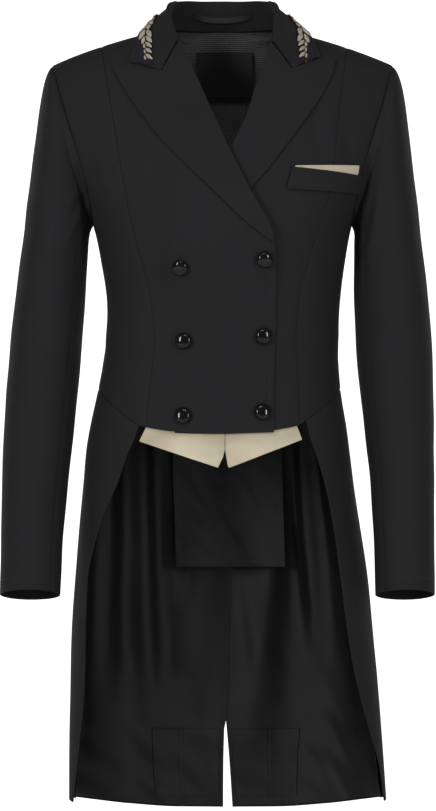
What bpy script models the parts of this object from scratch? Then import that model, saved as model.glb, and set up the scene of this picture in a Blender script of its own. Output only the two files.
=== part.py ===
"""A ladies' dressage tailcoat, held up in its worn form and hollow inside.

Frame: +Z up, the coat faces -Y, the wearer's left is +X. The origin is between the shoulders, at the
height where the coat hangs from them. All tables are in millimetres, and the meshes are in metres.
"""
import math
from collections import namedtuple

import bmesh
import bpy
from mathutils import Vector

MM = 0.001

# Cloth and seams
CLOTH = 1.6            # thickness of the softshell cloth
THIN = 1.0             # thickness of lining and satin
SEAM = 0.28            # each panel stops this far short of its seam line
WAIST_SEAM = 0.45      # the same along the curved waist seam
LAYER = 1.5            # air between two layers that lie on each other
LINING = -(CLOTH + LAYER)      # where the outer face of a lining lies
NECK_LINING = -6.2     # the same for the mesh inside the rounded upper back
OVERLAP = 2.6          # how far the overlapping front lies outside the front below it
CHEST_OVERLAP = 6.6    # the same where the lower lapel lies between them
ROUND = 2.2            # squareness of the body's sections: 2 is an ellipse

# Rows of the panels' grids
BODICE_ROWS = 17
TAIL_ROWS = 11

RIGHT = -1             # the wearer's right side
LEFT = 1
WORDS = {RIGHT: "right", LEFT: "left"}

# A section of the coat. level is its height, slope how much of the shoulder's slope it takes, rise
# how far it climbs at the back neck, half its half width, front, back and side its depths, and lean
# how far it hangs sideways.
Section = namedtuple("Section", "level slope rise half front back side lean")
BODY = [
    Section(-930, 0.00, 0, 188.6, -74, 123, 8, 6.8),
    Section(-870, 0.00, 0, 186.5, -84, 123, 8, 5.0),
    Section(-800, 0.00, 0, 183.5, -94, 122, 8, 3.0),
    Section(-725, 0.00, 0, 179.5, -103, 120, 8, 0.5),
    Section(-650, 0.00, 0, 174.0, -111, 118, 8, -1.0),
    Section(-580, 0.00, 0, 166.0, -116, 114, 8, -3.0),
    Section(-530, 0.00, 0, 160.0, -117, 109, 7, -4.5),
    Section(-490, 0.00, 0, 155.5, -114, 102, 6, -5.5),
    Section(-460, 0.00, 0, 151.0, -110, 94, 6, -5.0),
    Section(-425, 0.00, 0, 144.5, -104, 84, 6, -4.0),
    Section(-390, 0.00, 0, 139.5, -99, 78, 6, -2.2),
    Section(-350, 0.00, 0, 137.0, -98, 76, 6, 0.0),
    Section(-310, 0.00, 0, 138.0, -104, 80, 6, 1.2),
    Section(-270, 0.00, 0, 143.5, -116, 88, 6, 0.8),
    Section(-225, 0.00, 0, 152.5, -125, 95, 6, 0.0),
    Section(-190, 0.00, 0, 167.0, -122, 97, 5, 0.0),
    Section(-155, 0.35, 0, 182.0, -113, 95, 4, 0.0),
    Section(-118, 0.60, 4, 195.0, -99, 90, 4, 0.0),
    Section(-82, 0.80, 10, 207.0, -83, 83, 4, 0.0),
    Section(-48, 0.92, 20, 216.0, -67, 74, 4, 0.0),
    Section(-24, 1.00, 35, 220.0, -53, 61, 4, 0.0),
    Section(-6, 1.00, 26, 222.0, -36, 44, 4, 0.0),
    Section(4, 1.00, 12, 223.0, -17, 25, 4, 0.0),
    Section(8, 1.00, 0, 224.0, 4, 4, 4, 0.0),
]
TOP = len(BODY) - 1
UNDERARM = 14          # the section that holds the bottom of the armholes
NECK_SIDE = 66.0       # from the centre to the neck end of the shoulder seam
SHOULDER_SLOPE = 0.19
SHOULDER_CURVE = 0.00109
RISE_REACH = 95.0      # the back neck's rise has died out this far from the centre

# Lines on the body, each row a height and a distance from the centre towards the panel's own side
ARMHOLE = [(-225, 152.5), (-205, 155.0), (-184, 159.0), (-160, 164.5), (-127, 173.5), (-80, 188.0),
           (-55, 195.0), (-36, 201.0)]
FRONT_SEAM = {
    RIGHT: [(-470, 84.0), (-447, 83.0), (-407, 80.3), (-366, 78.7), (-334, 81.7), (-280, 92.0),
            (-256, 98.7), (-222, 106.7), (-171, 116.0), (-85, 130.3), (-11, 142.9)],
    LEFT: [(-470, 96.0), (-445, 94.0), (-383, 88.8), (-354, 85.5), (-310, 88.3), (-283, 95.1),
           (-256, 103.2), (-198, 122.0), (-150, 129.7), (-90, 136.5), (-11, 147.0)],
}
BACK_SEAM = [(-930, 84.5), (-700, 78.0), (-500, 68.0), (-448, 62.0), (-363, 60.0), (-307, 70.0),
             (-250, 88.0), (-190, 108.0), (-134, 122.0), (-87, 132.0), (-12, 144.0)]
OVER_EDGE = [(-470, -64.0), (-350, -60.5), (-271, -59.0), (-240, -56.2), (-187, -29.3), (-139, -5.8),
             (-88, 15.7), (-63, 26.0), (-42, 36.6), (-21, 44.6), (-10, 49.5), (4, 61.0), (8, 66.0)]
UNDER_EDGE = [(-470, -50.0), (-300, -46.0), (-246, -38.0), (-187, -13.0), (-139, 9.6), (-95, 29.5),
              (-66, 38.0), (-43, 46.5), (-18, 53.7), (4, 62.0), (8, 66.0)]
# The neck line at the back, by section number
BACK_NECK = [(20, 0.0), (20.2, 14.0), (20.45, 24.0), (20.75, 34.0), (21, 44.0), (22, 60.0), (23, 66.0)]
NECK_LINE = [(distance, number) for number, distance in BACK_NECK]
VENT = [(-930, 5.8), (-868, 3.6), (-835, 1.8), (-800, 0.0), (15, 0.0)]
TAIL_EDGE = {
    RIGHT: [(-925, 186.0), (-800, 168.0), (-733, 161.5), (-685, 160.0), (-634, 156.6), (-602, 148.4),
            (-569, 137.7), (-528, 118.6), (-493, 105.0), (-470, 95.0), (-450, 90.0)],
    LEFT: [(-925, 187.5), (-861, 180.5), (-814, 168.7), (-748, 153.5), (-684, 144.2), (-627, 138.0),
           (-581, 133.0), (-537, 126.0), (-486, 112.3), (-470, 106.0), (-450, 101.0)],
}

# Lines by their distance from the centre, and their height
FRONT_HEM = [(-66, -467), (0, -468.5), (50, -466), (84, -461), (93, -458.5), (103, -452), (118, -441),
             (131, -430), (141, -417)]
BACK_WAIST = [(0, -400), (60, -402), (110, -409), (141, -417)]
TAIL_HEM = [(0, -924), (60, -923), (120, -917), (165, -908), (190, -900)]

# The lapels: the outer edge by height and distance, and the corners where it meets the collar
LAPEL_EDGE = {
    RIGHT: [(-246, -55.0), (-241, -46.1), (-194, 7.6), (-136, 65.0), (-75, 109.6), (-41.6, 127.6)],
    LEFT: [(-234, -20.0), (-187, 32.4), (-117, 86.9), (-75, 114.9), (-45, 128.7), (-31, 131.4)],
}
LAPEL_EDGES = {RIGHT: OVER_EDGE, LEFT: UNDER_EDGE}
GORGE = {RIGHT: (52.0, -9.6), LEFT: (58.5, -11.6)}
NOTCH = {RIGHT: (71.4, -47.0), LEFT: (80.7, -43.8)}
NOTCH_SHARE = 0.30
LAPEL_OUT = CLOTH + 1.2

# A station of the collar, from the centre back to its front end: the section of the neck seam, the
# fold's height above it and its lean towards the neck, the outer edge by distance and by section or
# height, and how far the fall stands out. The last station of each front lies along the notch.
Station = namedtuple("Station", "neck lift lean edge_distance edge_section bulge")
COLLAR_BACK = [
    Station(20.0, 34.5, 9.5, 0.0, 19.55, 1.5),
    Station(20.6, 31.4, 9.0, 36.0, 19.75, 1.5),
    Station(21.2, 33.8, 8.5, 62.0, 20.60, 1.5),
    Station(22.2, 32.8, 8.0, 83.0, 21.80, 1.0),
    Station(23.0, 31.6, 8.0, 95.0, 23.00, 0.5),
]
CollarFront = namedtuple("CollarFront", "neck lift lean edge_distance edge_z bulge notched")
COLLAR_FRONT = {
    RIGHT: [
        CollarFront(22.35, 24.0, 3.0, 99.0, -4.0, 1.5, False),
        CollarFront(21.75, 14.0, 0.0, 103.0, -18.3, 3.0, False),
        CollarFront(21.25, 5.0, -1.0, 107.8, -36.8, 0.0, True),
    ],
    LEFT: [
        CollarFront(22.35, 24.0, 3.0, 104.0, -6.0, 1.5, False),
        CollarFront(21.75, 14.0, 0.0, 109.0, -18.0, 3.0, False),
        CollarFront(21.25, 5.0, -1.0, 113.7, -30.7, 0.0, True),
    ],
}
COLLAR_OUT = CLOTH + 1.8
MID_SHARE = 0.36
# The braid's upper and lower edge, by station and share of the way across the collar
BRAID_HIGH = [(0.0, 0.71), (4.0, 0.71), (5.0, 0.72), (6.0, 0.78), (6.95, 0.87)]
BRAID_LOW = [(0.0, 0.84), (4.0, 0.84), (5.0, 0.85), (6.0, 0.90), (6.95, 0.93)]
# The hanger loop on the stand: half its length in stations, and its height as a share across the collar
LOOP_REACH = 1.3
LOOP_SAG = 0.026
LOOP_RISE = 0.048
LOOP_WIDTH = 0.026

# A ring of the sleeve, from the head to the cuff, for either side
Ring = namedtuple("Ring", "outer_z inner_z right_outer right_inner left_outer left_inner y half tilt")
SLEEVE = [
    Ring(-42, -226.5, 205.6, 153.9, 206.0, 153.6, 4, 51.0, 0.00),
    Ring(-56, -228.0, 210.6, 154.7, 211.2, 154.2, 4, 54.0, 0.00),
    Ring(-80, -229.5, 215.2, 155.4, 215.8, 154.8, 4, 57.0, 0.00),
    Ring(-112, -231.0, 219.6, 156.0, 219.8, 155.2, 4, 59.0, 0.00),
    Ring(-150, -233.0, 224.6, 156.6, 224.2, 155.5, 4, 60.0, 0.00),
    Ring(-192, -236.5, 230.0, 157.2, 229.4, 155.8, 4, 60.0, 0.00),
    Ring(-235, -246.0, 235.0, 158.4, 234.2, 155.4, 4, 59.0, 0.00),
    Ring(-290, -293.0, 242.4, 161.0, 241.0, 155.0, 5, 57.0, 0.00),
    Ring(-345, -345.0, 249.0, 164.6, 246.4, 156.4, 6, 54.5, 0.00),
    Ring(-400, -400.0, 253.6, 168.8, 248.6, 160.0, 2, 51.5, 0.06),
    Ring(-465, -465.0, 257.6, 175.0, 249.0, 167.4, -6, 48.0, 0.13),
    Ring(-530, -530.0, 259.2, 181.6, 248.6, 173.8, -17, 45.0, 0.18),
    Ring(-595, -595.0, 259.4, 187.0, 248.0, 177.2, -29, 43.0, 0.20),
    Ring(-657, -657.0, 260.0, 189.4, 247.8, 178.6, -41, 42.0, 0.20),
]
FRONT_SLEEVE_SEAM = math.radians(136)
BACK_SLEEVE_SEAM = math.radians(-112)

# A fold of the tail lining: where it starts and ends, by height and degrees round from the centre back
Fold = namedtuple("Fold", "top_z top_turn low_z low_turn width depth")
FOLDS = {
    RIGHT: [
        Fold(-430, 36, -770, 33, 6.5, 10.0),
        Fold(-430, 64, -720, 62, 7.0, 8.0),
        Fold(-600, 5, -800, 18, 5.5, 7.0),
        Fold(-440, 92, -700, 88, 8.0, 6.0),
    ],
    LEFT: [
        Fold(-430, 27, -790, 19, 7.0, 10.0),
        Fold(-430, 44, -700, 42, 5.5, 8.0),
        Fold(-430, 66, -720, 64, 7.0, 8.0),
        Fold(-440, 92, -700, 86, 8.0, 6.0),
    ],
}
LINING_COLUMNS = 22
LINING_SHARES = (0.0, 0.965)
POCKET_COLUMNS = 6

# Trim, by distance and height. A button's seat is how far its shank's foot lies above the cloth's curve.
Button = namedtuple("Button", "distance z seat")
BUTTONS = [
    Button(-45.6, -267.2, -0.8),
    Button(-46.6, -356.1, 0.7),
    Button(-49.7, -444.0, 0.7),
    Button(48.1, -276.2, -0.7),
    Button(43.6, -361.8, 0.7),
    Button(40.3, -448.1, 0.7),
]
BUTTON_PROFILE = [(0.0, 0.0), (3.2, 0.0), (3.4, 1.8), (8.6, 2.4), (9.5, 3.8), (7.6, 6.6), (4.0, 8.1),
                  (0.0, 8.6)]
WELT = ((79.6, -162.2), (159.0, -168.2), (72.6, -187.9), (157.2, -189.7))
INSERT = ((83.2, -160.4), (158.0, -157.2), (82.0, -168.0), (155.6, -174.0))
WAISTCOAT = {
    RIGHT: [(-7.9, -487.0), (-5.9, -495.0), (0.1, -507.0), (91.7, -477.0)],
    LEFT: [(8.5, -487.0), (11.4, -505.4), (13.1, -507.0), (98.9, -475.0)],
}
WAISTCOAT_TOP = -438.0
WAISTCOAT_OUT = -(CLOTH + 0.7)
WAISTCOAT_SLANT = 0.42
Label = namedtuple("Label", "right left top low")
LABEL = Label(-30.0, 37.5, -10.0, -64.0)
BACK_LINING_LOW = 14.3
FLAP_LEFT = 77.0       # the seat flap's edges, from the centre to the wearer's left and right
FLAP_RIGHT = 54.5
FLAP_TOP = -404.0
FLAP_LOW = -630.0


def between(a, b, t):
    return a + (b - a) * t


def smooth(low, high, value):
    """0 at low, 1 at high, and a soft step between them."""
    t = min(1.0, max(0.0, (value - low) / (high - low)))
    return t * t * (3.0 - 2.0 * t)


def read_line(points, key):
    """The second column of a short table at a value of its first, on straight lines."""
    if key <= points[0][0]:
        return points[0][1]
    for (x0, y0), (x1, y1) in zip(points, points[1:]):
        if key <= x1:
            return between(y0, y1, (key - x0) / (x1 - x0))
    return points[-1][1]


def read_curve(points, key):
    """The second column of a short table at a value of its first, on a smooth curve without overshoot."""
    if key <= points[0][0]:
        return points[0][1]
    if key >= points[-1][0]:
        return points[-1][1]
    k = max(i for i in range(len(points) - 1) if points[i][0] <= key)
    (x0, y0), (x1, y1) = points[k], points[k + 1]

    def slope(i):
        return (points[i + 1][1] - points[i][1]) / (points[i + 1][0] - points[i][0])

    def tangent(i):
        if i == 0 or i == len(points) - 1:
            return slope(min(i, len(points) - 2))
        a, b = slope(i - 1), slope(i)
        return 0.0 if a * b <= 0 else 2 * a * b / (a + b)

    return hermite(y0, y1, tangent(k) * (x1 - x0), tangent(k + 1) * (x1 - x0), (key - x0) / (x1 - x0))


def hermite(a, b, leave, arrive, t):
    """A cubic from a to b with the slopes it leaves and arrives with."""
    return (a * (2 * t**3 - 3 * t**2 + 1) + leave * (t**3 - 2 * t**2 + t)
            + b * (3 * t**2 - 2 * t**3) + arrive * (t**3 - t**2))


def along(values, v):
    """A smooth curve through a row of numbers or points, read at a fractional index."""
    last = len(values) - 1
    v = min(last, max(0.0, v))
    k = min(int(v), last - 1)
    before, after = values[max(k - 1, 0)], values[min(k + 2, last)]
    leave, arrive = (values[k + 1] - before) * 0.5, (after - values[k]) * 0.5
    return hermite(values[k], values[k + 1], leave, arrive, v - k)


COLUMNS = {name: [getattr(row, name) for row in BODY] for name in Section._fields}


def section(column, v):
    """A column of BODY at section number v."""
    return along(COLUMNS[column], v)


def height(distance, v, back):
    """The height of a section at a distance from the centre."""
    out = max(0.0, distance - NECK_SIDE)
    drop = SHOULDER_SLOPE * out + SHOULDER_CURVE * out * out
    near = max(0.0, 1.0 - (distance / RISE_REACH) ** 2)
    rise = section("rise", v) * near * near if back else 0.0
    return section("level", v) - section("slope", v) * drop + rise


def angle_of(distance, v):
    """How far round a section a distance from the centre lies, up to a right angle at the side."""
    share = min(1.0, abs(distance) / section("half", v))
    return math.copysign(math.asin(share ** (ROUND / 2)), distance)


def distance_of(angle, v):
    return math.copysign(section("half", v) * abs(math.sin(angle)) ** (2 / ROUND), angle)


def body(side, back, angle, v):
    """A point of the coat's outer surface, before any layer is added."""
    distance = abs(distance_of(angle, v))
    middle = section("back" if back else "front", v)
    y = between(section("side", v), middle, max(0.0, math.cos(angle)) ** (2 / ROUND))
    y += (0.5 if back else -0.5) * smooth(TOP - 1, TOP, v)
    across = math.copysign(distance, angle) * side
    return Vector((across + section("lean", v), y, height(distance, v, back)))


def outward(side, back, angle, v):
    """The outward normal of the coat's surface there."""
    high, low = min(v + 0.1, TOP), max(v - 0.1, 0.0)
    a1, a0 = min(angle + 0.02, math.pi / 2), angle - 0.02
    across = body(side, back, a1, v) - body(side, back, a0, v)
    up = body(side, back, angle, high) - body(side, back, angle, low)
    normal = across.cross(up).normalized()
    return normal if (side > 0) != back else -normal


def on_body(side, back, angle, v, out=0.0):
    return body(side, back, angle, v) + outward(side, back, angle, v) * out


def find_section(back, distance, z):
    """The section number at which the surface has height z at that distance from the centre."""
    low, high = 0.0, float(TOP)
    for _ in range(26):
        middle = (low + high) / 2
        if height(abs(distance), middle, back) < z:
            low = middle
        else:
            high = middle
    return (low + high) / 2


def at(side, back, distance, z, out=0.0):
    """A point on the coat at a distance from the centre and a height."""
    v = find_section(back, distance, z)
    return on_body(side, back, angle_of(distance, v), v, out)


def material(name, colour, roughness, metallic=0.0):
    found = bpy.data.materials.get(name)
    if found:
        return found
    made = bpy.data.materials.new(name)
    made.use_nodes = True
    shader = made.node_tree.nodes["Principled BSDF"]
    shader.inputs["Base Color"].default_value = (*colour, 1.0)
    shader.inputs["Roughness"].default_value = roughness
    shader.inputs["Metallic"].default_value = metallic
    return made


SOFTSHELL = ("softshell", (0.021, 0.021, 0.023), 0.85)
SATIN = ("black_satin", (0.016, 0.016, 0.018), 0.35)
MESH = ("mesh_lining", (0.020, 0.020, 0.022), 0.80)
CREAM = ("cream_satin", (0.52, 0.44, 0.32), 0.40)
GLOSS = ("button_gloss", (0.008, 0.008, 0.009), 0.08)
BRAID_CLOTH = ("braid_cloth", (0.62, 0.53, 0.40), 0.45)
LABEL_CLOTH = ("label_cloth", (0.010, 0.008, 0.012), 0.60)


def finish(name, shape, colour):
    """An object from a bmesh, its faces turned outwards and shaded smooth, with its material."""
    bmesh.ops.recalc_face_normals(shape, faces=shape.faces[:])
    if shape.calc_volume(signed=True) < 0:
        bmesh.ops.reverse_faces(shape, faces=shape.faces[:])
    mesh = bpy.data.meshes.new(name)
    shape.to_mesh(mesh)
    shape.free()
    mesh.shade_smooth()
    mesh.set_sharp_from_angle(angle=math.radians(50))
    mesh.materials.append(material(*colour))
    made = bpy.data.objects.new(name, mesh)
    bpy.context.scene.collection.objects.link(made)
    made.parent = bpy.data.objects["coat"]
    return made


def sheet(name, columns, rows, place, colour, thickness=CLOTH):
    """A wall of cloth. place turns two shares, across and up, and a depth below the face into a point."""
    shape = bmesh.new()
    bmesh.ops.create_grid(shape, x_segments=columns, y_segments=rows, size=0.5)
    outer = list(shape.verts)
    copied = bmesh.ops.extrude_face_region(shape, geom=shape.faces[:], use_keep_orig=True)
    inner = [item for item in copied["geom"] if isinstance(item, bmesh.types.BMVert)]
    for vertices, depth in ((outer, 0.0), (inner, thickness)):
        for vertex in vertices:
            across, up = round(vertex.co.x + 0.5, 5), round(vertex.co.y + 0.5, 5)
            vertex.co = place(across, up, depth) * MM
    return finish(name, shape, colour)


def with_normals(face):
    """Gives a surface of two shares a depth, along normals worked out from it."""
    def place(across, up, deeper):
        step = 0.002
        a0, a1 = max(across - step, 0.0), min(across + step, 1.0)
        u0, u1 = max(up - step, 0.0), min(up + step, 1.0)
        normal = (face(a1, up) - face(a0, up)).cross(face(across, u1) - face(across, u0)).normalized()
        return face(across, up) - normal * deeper
    return place


def armhole_distance(back, v):
    """How far from the centre the armhole seam crosses a section."""
    distance = 170.0
    for _ in range(12):
        distance = read_curve(ARMHOLE, height(distance, v, back))
    return distance


def seam_angle(table, back, gap):
    """A boundary that follows a line of heights and distances, held back from it by gap."""
    def angle(v):
        distance = 100.0
        for _ in range(8):
            distance = read_curve(table, height(abs(distance), v, back))
        return angle_of(distance + gap, v)
    return angle


def side_angle(back):
    """The side seam, and above the underarm the armhole seam."""
    def angle(v):
        side_seam = math.pi / 2 - SEAM / section("half", v)
        if v <= UNDERARM:
            return side_seam
        return min(angle_of(armhole_distance(back, v) - SEAM, v), side_seam)
    return angle


def centre_back_angle(v):
    """The centre back seam, which opens as a vent below."""
    return angle_of(SEAM + read_curve(VENT, section("level", v)), v)


def meet(angle, back, line, low, high, raised=0.0):
    """The section number at which a boundary crosses a line of distances and heights."""
    for _ in range(26):
        v = (low + high) / 2
        distance = distance_of(angle(v), v)
        if height(abs(distance), v, back) < read_curve(line, distance) + raised:
            low = v
        else:
            high = v
    return (low + high) / 2


def remember(function):
    """Keeps what a function of one number has given."""
    kept = {}

    def kept_function(value):
        if value not in kept:
            kept[value] = function(value)
        return kept[value]
    return kept_function


def spread(up):
    """Rows lie a little closer together at the waist, where the sections are further apart."""
    return 1.0 - (1.0 - up) ** 0.9


def bodice_place(side, back, inner, outer, hem, out=None):
    """Points of a panel of the bodice between two seams, from its lower line up to the shoulder."""
    @remember
    def lowest(across):
        def column(v):
            return between(inner(v), outer(v), across)
        return meet(column, back, hem, 0.0, float(UNDERARM), WAIST_SEAM)

    def place(across, up, deeper):
        v = between(lowest(across), float(TOP), spread(up))
        angle = between(inner(v), outer(v), across)
        extra = out(distance_of(angle, v), section("level", v)) if out else 0.0
        return on_body(side, back, angle, v, extra - deeper)
    return place


def over_lift(distance, z):
    """How far the overlapping front stands off the coat's surface."""
    chest = between(OVERLAP, CHEST_OVERLAP, smooth(-315, -265, z))
    return chest * (1.0 - smooth(48, 82, distance)) * (1.0 - smooth(-125, -75, z))


def no_lift(distance, z):
    return 0.0


LIFT = {RIGHT: over_lift, LEFT: no_lift}


def make_fronts():
    """The two fronts, each a centre panel and a side panel on either side of the shaped seam."""
    for side, word in WORDS.items():
        seam = FRONT_SEAM[side]
        edge = seam_angle(LAPEL_EDGES[side], False, 0.0)
        centre = bodice_place(side, False, edge, seam_angle(seam, False, -SEAM), FRONT_HEM, LIFT[side])
        sheet(f"front_centre_{word}", 8, BODICE_ROWS, centre, SOFTSHELL)
        flank = bodice_place(side, False, seam_angle(seam, False, SEAM), side_angle(False), FRONT_HEM)
        sheet(f"front_side_{word}", 6, BODICE_ROWS, flank, SOFTSHELL)


def back_centre_place(side):
    """Points of a back panel cut in one with its tail."""
    outer = seam_angle(BACK_SEAM, True, -SEAM)
    waist_share = TAIL_ROWS / (TAIL_ROWS + BODICE_ROWS)
    spacing = [(0.0, 0.0), (3 / 7, 0.40), (1.0, 1.0)]

    @remember
    def ends(across):
        share = read_line(spacing, across)

        def angle(v):
            return between(centre_back_angle(v), outer(v), share)

        top = 22.0
        for _ in range(20):
            top = between(top, read_curve(NECK_LINE, distance_of(angle(top), top)), 0.5)
        return angle, meet(angle, True, TAIL_HEM, 0.0, 3.0), meet(angle, True, BACK_WAIST, 6.0, 14.0), top

    def place(across, up, deeper):
        angle, low, waist, top = ends(across)
        if up <= waist_share:
            v = between(low, waist, up / waist_share)
        else:
            v = between(waist, top, spread((up - waist_share) / (1.0 - waist_share)))
        return on_body(side, True, angle(v), v, -deeper)
    return place


def make_back():
    """The back: centre panels cut in one with the tails, and side panels down to the waist seam."""
    for side, word in WORDS.items():
        sheet(f"back_centre_{word}", 7, TAIL_ROWS + BODICE_ROWS, back_centre_place(side), SOFTSHELL)
        flank = bodice_place(side, True, seam_angle(BACK_SEAM, True, SEAM), side_angle(True), BACK_WAIST)
        sheet(f"back_side_{word}", 4, BODICE_ROWS, flank, SOFTSHELL)


def tail_place(side, start, out=0.0, shares=(0.0, 1.0), rows=(0.0, 1.0), fold=None, hem=0.0, top=0.0):
    """Points of a tail: across runs from a seam at the back round the side to the open front edge."""
    def turn_at(share, v):
        edge = angle_of(read_curve(TAIL_EDGE[side], section("level", v)), v)
        return between(start(v), math.pi - edge, share)

    def meeting(share, low, high, back_line, front_line, raised):
        for _ in range(26):
            v = (low + high) / 2
            turn = turn_at(share, v)
            line = back_line if turn <= math.pi / 2 else front_line
            distance = distance_of(min(turn, math.pi - turn), v)
            if section("level", v) < read_curve(line, distance) + raised:
                low = v
            else:
                high = v
        return (low + high) / 2

    @remember
    def ends(share):
        return (meeting(share, 0.0, 3.0, TAIL_HEM, TAIL_HEM, hem),
                meeting(share, 6.0, 12.0, BACK_WAIST, FRONT_HEM, -WAIST_SEAM - top))

    def place(across, up, deeper):
        share = between(*shares, across)
        low, high = ends(round(share, 6))
        v = between(low, high, between(*rows, up))
        turn = turn_at(share, v)
        inward = fold(side, turn, section("level", v)) if fold else 0.0
        angle = min(turn, math.pi - turn, math.pi / 2 - 0.0005)
        return on_body(side, turn <= math.pi / 2, angle, v, out - inward - deeper)
    return place


def lining_start(v):
    """The tail lining starts just outside the vent's edge."""
    return angle_of(1.2 + read_curve(VENT, section("level", v)), v)


def satin_fold(side, turn, z):
    """How far the lining's folds stand off the cloth towards the inside."""
    depth = 0.0
    for fold in FOLDS[side]:
        share = (fold.top_z - z) / (fold.top_z - fold.low_z)
        middle = between(fold.top_turn, fold.low_turn, min(1.0, max(0.0, share)))
        fade = 1.0 - smooth(fold.top_z - 55, fold.top_z + 5, z)
        fade *= smooth(fold.low_z - 20, fold.low_z + 50, z)
        depth += fold.depth * fade * math.exp(-((math.degrees(turn) - middle) / fold.width) ** 2)
    return depth


def make_tails():
    for side, word in WORDS.items():
        outside = tail_place(side, seam_angle(BACK_SEAM, True, SEAM))
        sheet(f"tail_side_{word}", 12, TAIL_ROWS, outside, SOFTSHELL)
        lining = tail_place(side, lining_start, LINING, LINING_SHARES, (0.0, 1.0), satin_fold, 6.0, 3.0)
        sheet(f"tail_lining_{word}", LINING_COLUMNS, TAIL_ROWS, lining, SATIN, THIN)
        reach = LINING_SHARES[1] / LINING_COLUMNS
        weight = tail_place(side, lining_start, LINING - THIN - 0.4, (reach * 0.2, reach * POCKET_COLUMNS),
                            (0.02, 2.0 / TAIL_ROWS), satin_fold, 6.0, 3.0)
        sheet(f"tail_weight_{word}", POCKET_COLUMNS, 2, weight, SATIN, THIN)


def make_flap():
    """The satin flap that hangs behind the front points, joined to the lining at the waist."""
    def place(across, up, deeper):
        x = between(-FLAP_RIGHT, FLAP_LEFT, across)
        side = LEFT if x >= 0 else RIGHT
        top = at(side, True, abs(x), FLAP_TOP, LINING - THIN - 0.45)
        hang = smooth(0.0, 1.0, 1.0 - up)
        y = between(top.y, 84.0 - 0.0013 * x * x, hang * 0.9)
        lean = section("lean", find_section(True, 0.0, between(FLAP_LOW, FLAP_TOP, up)))
        return Vector((x + lean, y - deeper, between(FLAP_LOW, FLAP_TOP, up)))
    sheet("seat_flap", 8, 6, place, SATIN, THIN)


def armhole_point(side, theta):
    """The armhole seam, round from its top through the front and the underarm to the back."""
    top = height(armhole_distance(False, float(TOP)), float(TOP), False)
    low = section("level", UNDERARM)
    z = between(low, top, (1.0 + math.cos(theta)) / 2)
    back = math.sin(theta) < 0
    distance = read_curve(ARMHOLE, z)
    v = min(float(TOP), max(float(UNDERARM), find_section(back, distance, z)))
    return body(side, back, angle_of(distance, v), v)


def sleeve_place(side, start, end):
    """Points of a part of the sleeve between two lengthwise seams, from the head down to the cuff."""
    prefix = WORDS[side]

    def ring(k, theta):
        row = SLEEVE[k]
        outer, inner = getattr(row, prefix + "_outer"), getattr(row, prefix + "_inner")
        x = between(inner, outer, (1.0 + math.cos(theta)) / 2)
        y = row.y - row.half * math.sin(theta)
        z = between(row.inner_z, row.outer_z, (1.0 + math.cos(theta)) / 2) - row.tilt * (y - row.y)
        return Vector((x * side, y, z))

    @remember
    def column(theta):
        head = armhole_point(side, theta) + Vector((0.6 * side, 0.0, 0.0))
        points = [head] + [ring(k, theta) for k in range(len(SLEEVE))]
        middle = (armhole_point(side, 0.0) + armhole_point(side, math.pi)) / 2
        centres = [middle] + [(ring(k, 0.0) + ring(k, math.pi)) / 2 for k in range(len(SLEEVE))]
        return points, centres

    def place(across, up, deeper):
        theta = between(start, end, across)
        points, centres = column(theta)
        v = (1.0 - up) * len(SLEEVE)
        point, middle = along(points, v), along(centres, v)
        return point + (middle - point).normalized() * deeper
    return place


def make_sleeves():
    gap = SEAM / 45.0
    for side, word in WORDS.items():
        upper = sleeve_place(side, BACK_SLEEVE_SEAM + gap, FRONT_SLEEVE_SEAM - gap)
        under = sleeve_place(side, FRONT_SLEEVE_SEAM + gap, 2 * math.pi + BACK_SLEEVE_SEAM - gap)
        sheet(f"sleeve_top_{word}", 13, len(SLEEVE) - 2, upper, SOFTSHELL, 1.9)
        sheet(f"sleeve_under_{word}", 6, len(SLEEVE) - 2, under, SOFTSHELL, 1.9)


def neck_seam(side, v):
    """The neck seam at a section number, on the back up to the shoulder and on the front beyond it."""
    if v <= TOP:
        return on_body(side, True, angle_of(read_curve(BACK_NECK, v), v), v, 1.0)
    front = 2 * TOP - v
    return on_body(side, False, seam_angle(LAPEL_EDGES[side], False, 0.0)(front), front, 1.0)


def collar_line(side, station):
    """The collar's cross line at a station: stand, fold and fall, from the neck seam to the outer edge."""
    front = isinstance(station, CollarFront)
    seam = neck_seam(side, 2 * TOP - station.neck if front else station.neck)
    away = Vector((seam.x, seam.y - 8.0, 0.0)).normalized()
    fold = seam - away * station.lean + Vector((0.0, 0.0, station.lift))
    if front:
        edge = at(side, False, station.edge_distance, station.edge_z, COLLAR_OUT)
    else:
        v = station.edge_section
        edge = on_body(side, True, angle_of(station.edge_distance, v), v, COLLAR_OUT)
    middle = between(fold, edge, MID_SHARE)
    lifted = Vector((away.x, away.y, 1.0)).normalized() * station.bulge
    if front and station.notched:
        distance, z = NOTCH[side]
        middle = at(side, False, distance, z, COLLAR_OUT)
        high = at(side, False, (abs(fold.x) + distance) / 2, (fold.z + z) / 2, COLLAR_OUT + 1.6)
        low = at(side, False, (distance + station.edge_distance) / 2, (z + station.edge_z) / 2, COLLAR_OUT)
    else:
        high = between(fold, middle, 0.5) + lifted * 0.7
        low = between(middle, edge, 0.5) + lifted * 0.6
        middle = middle + lifted
    room = min(2.4, station.lift * 0.3)
    down = Vector((0.0, 0.0, -room))
    turned = fold + away * 4.2 + (edge - fold).normalized() * room
    return [seam, fold - away * 1.4 + down, fold + away * 1.3, turned, high, middle, low, edge]


def collar_lines():
    """The cross lines of the whole collar, from its right end round the back to its left end."""
    right = [collar_line(RIGHT, station) for station in COLLAR_BACK + COLLAR_FRONT[RIGHT]]
    left = [collar_line(LEFT, station) for station in COLLAR_BACK + COLLAR_FRONT[LEFT]]
    return right[:0:-1] + left


COLLAR_LINES = collar_lines()
COLLAR_END = len(COLLAR_LINES) // 2


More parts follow.
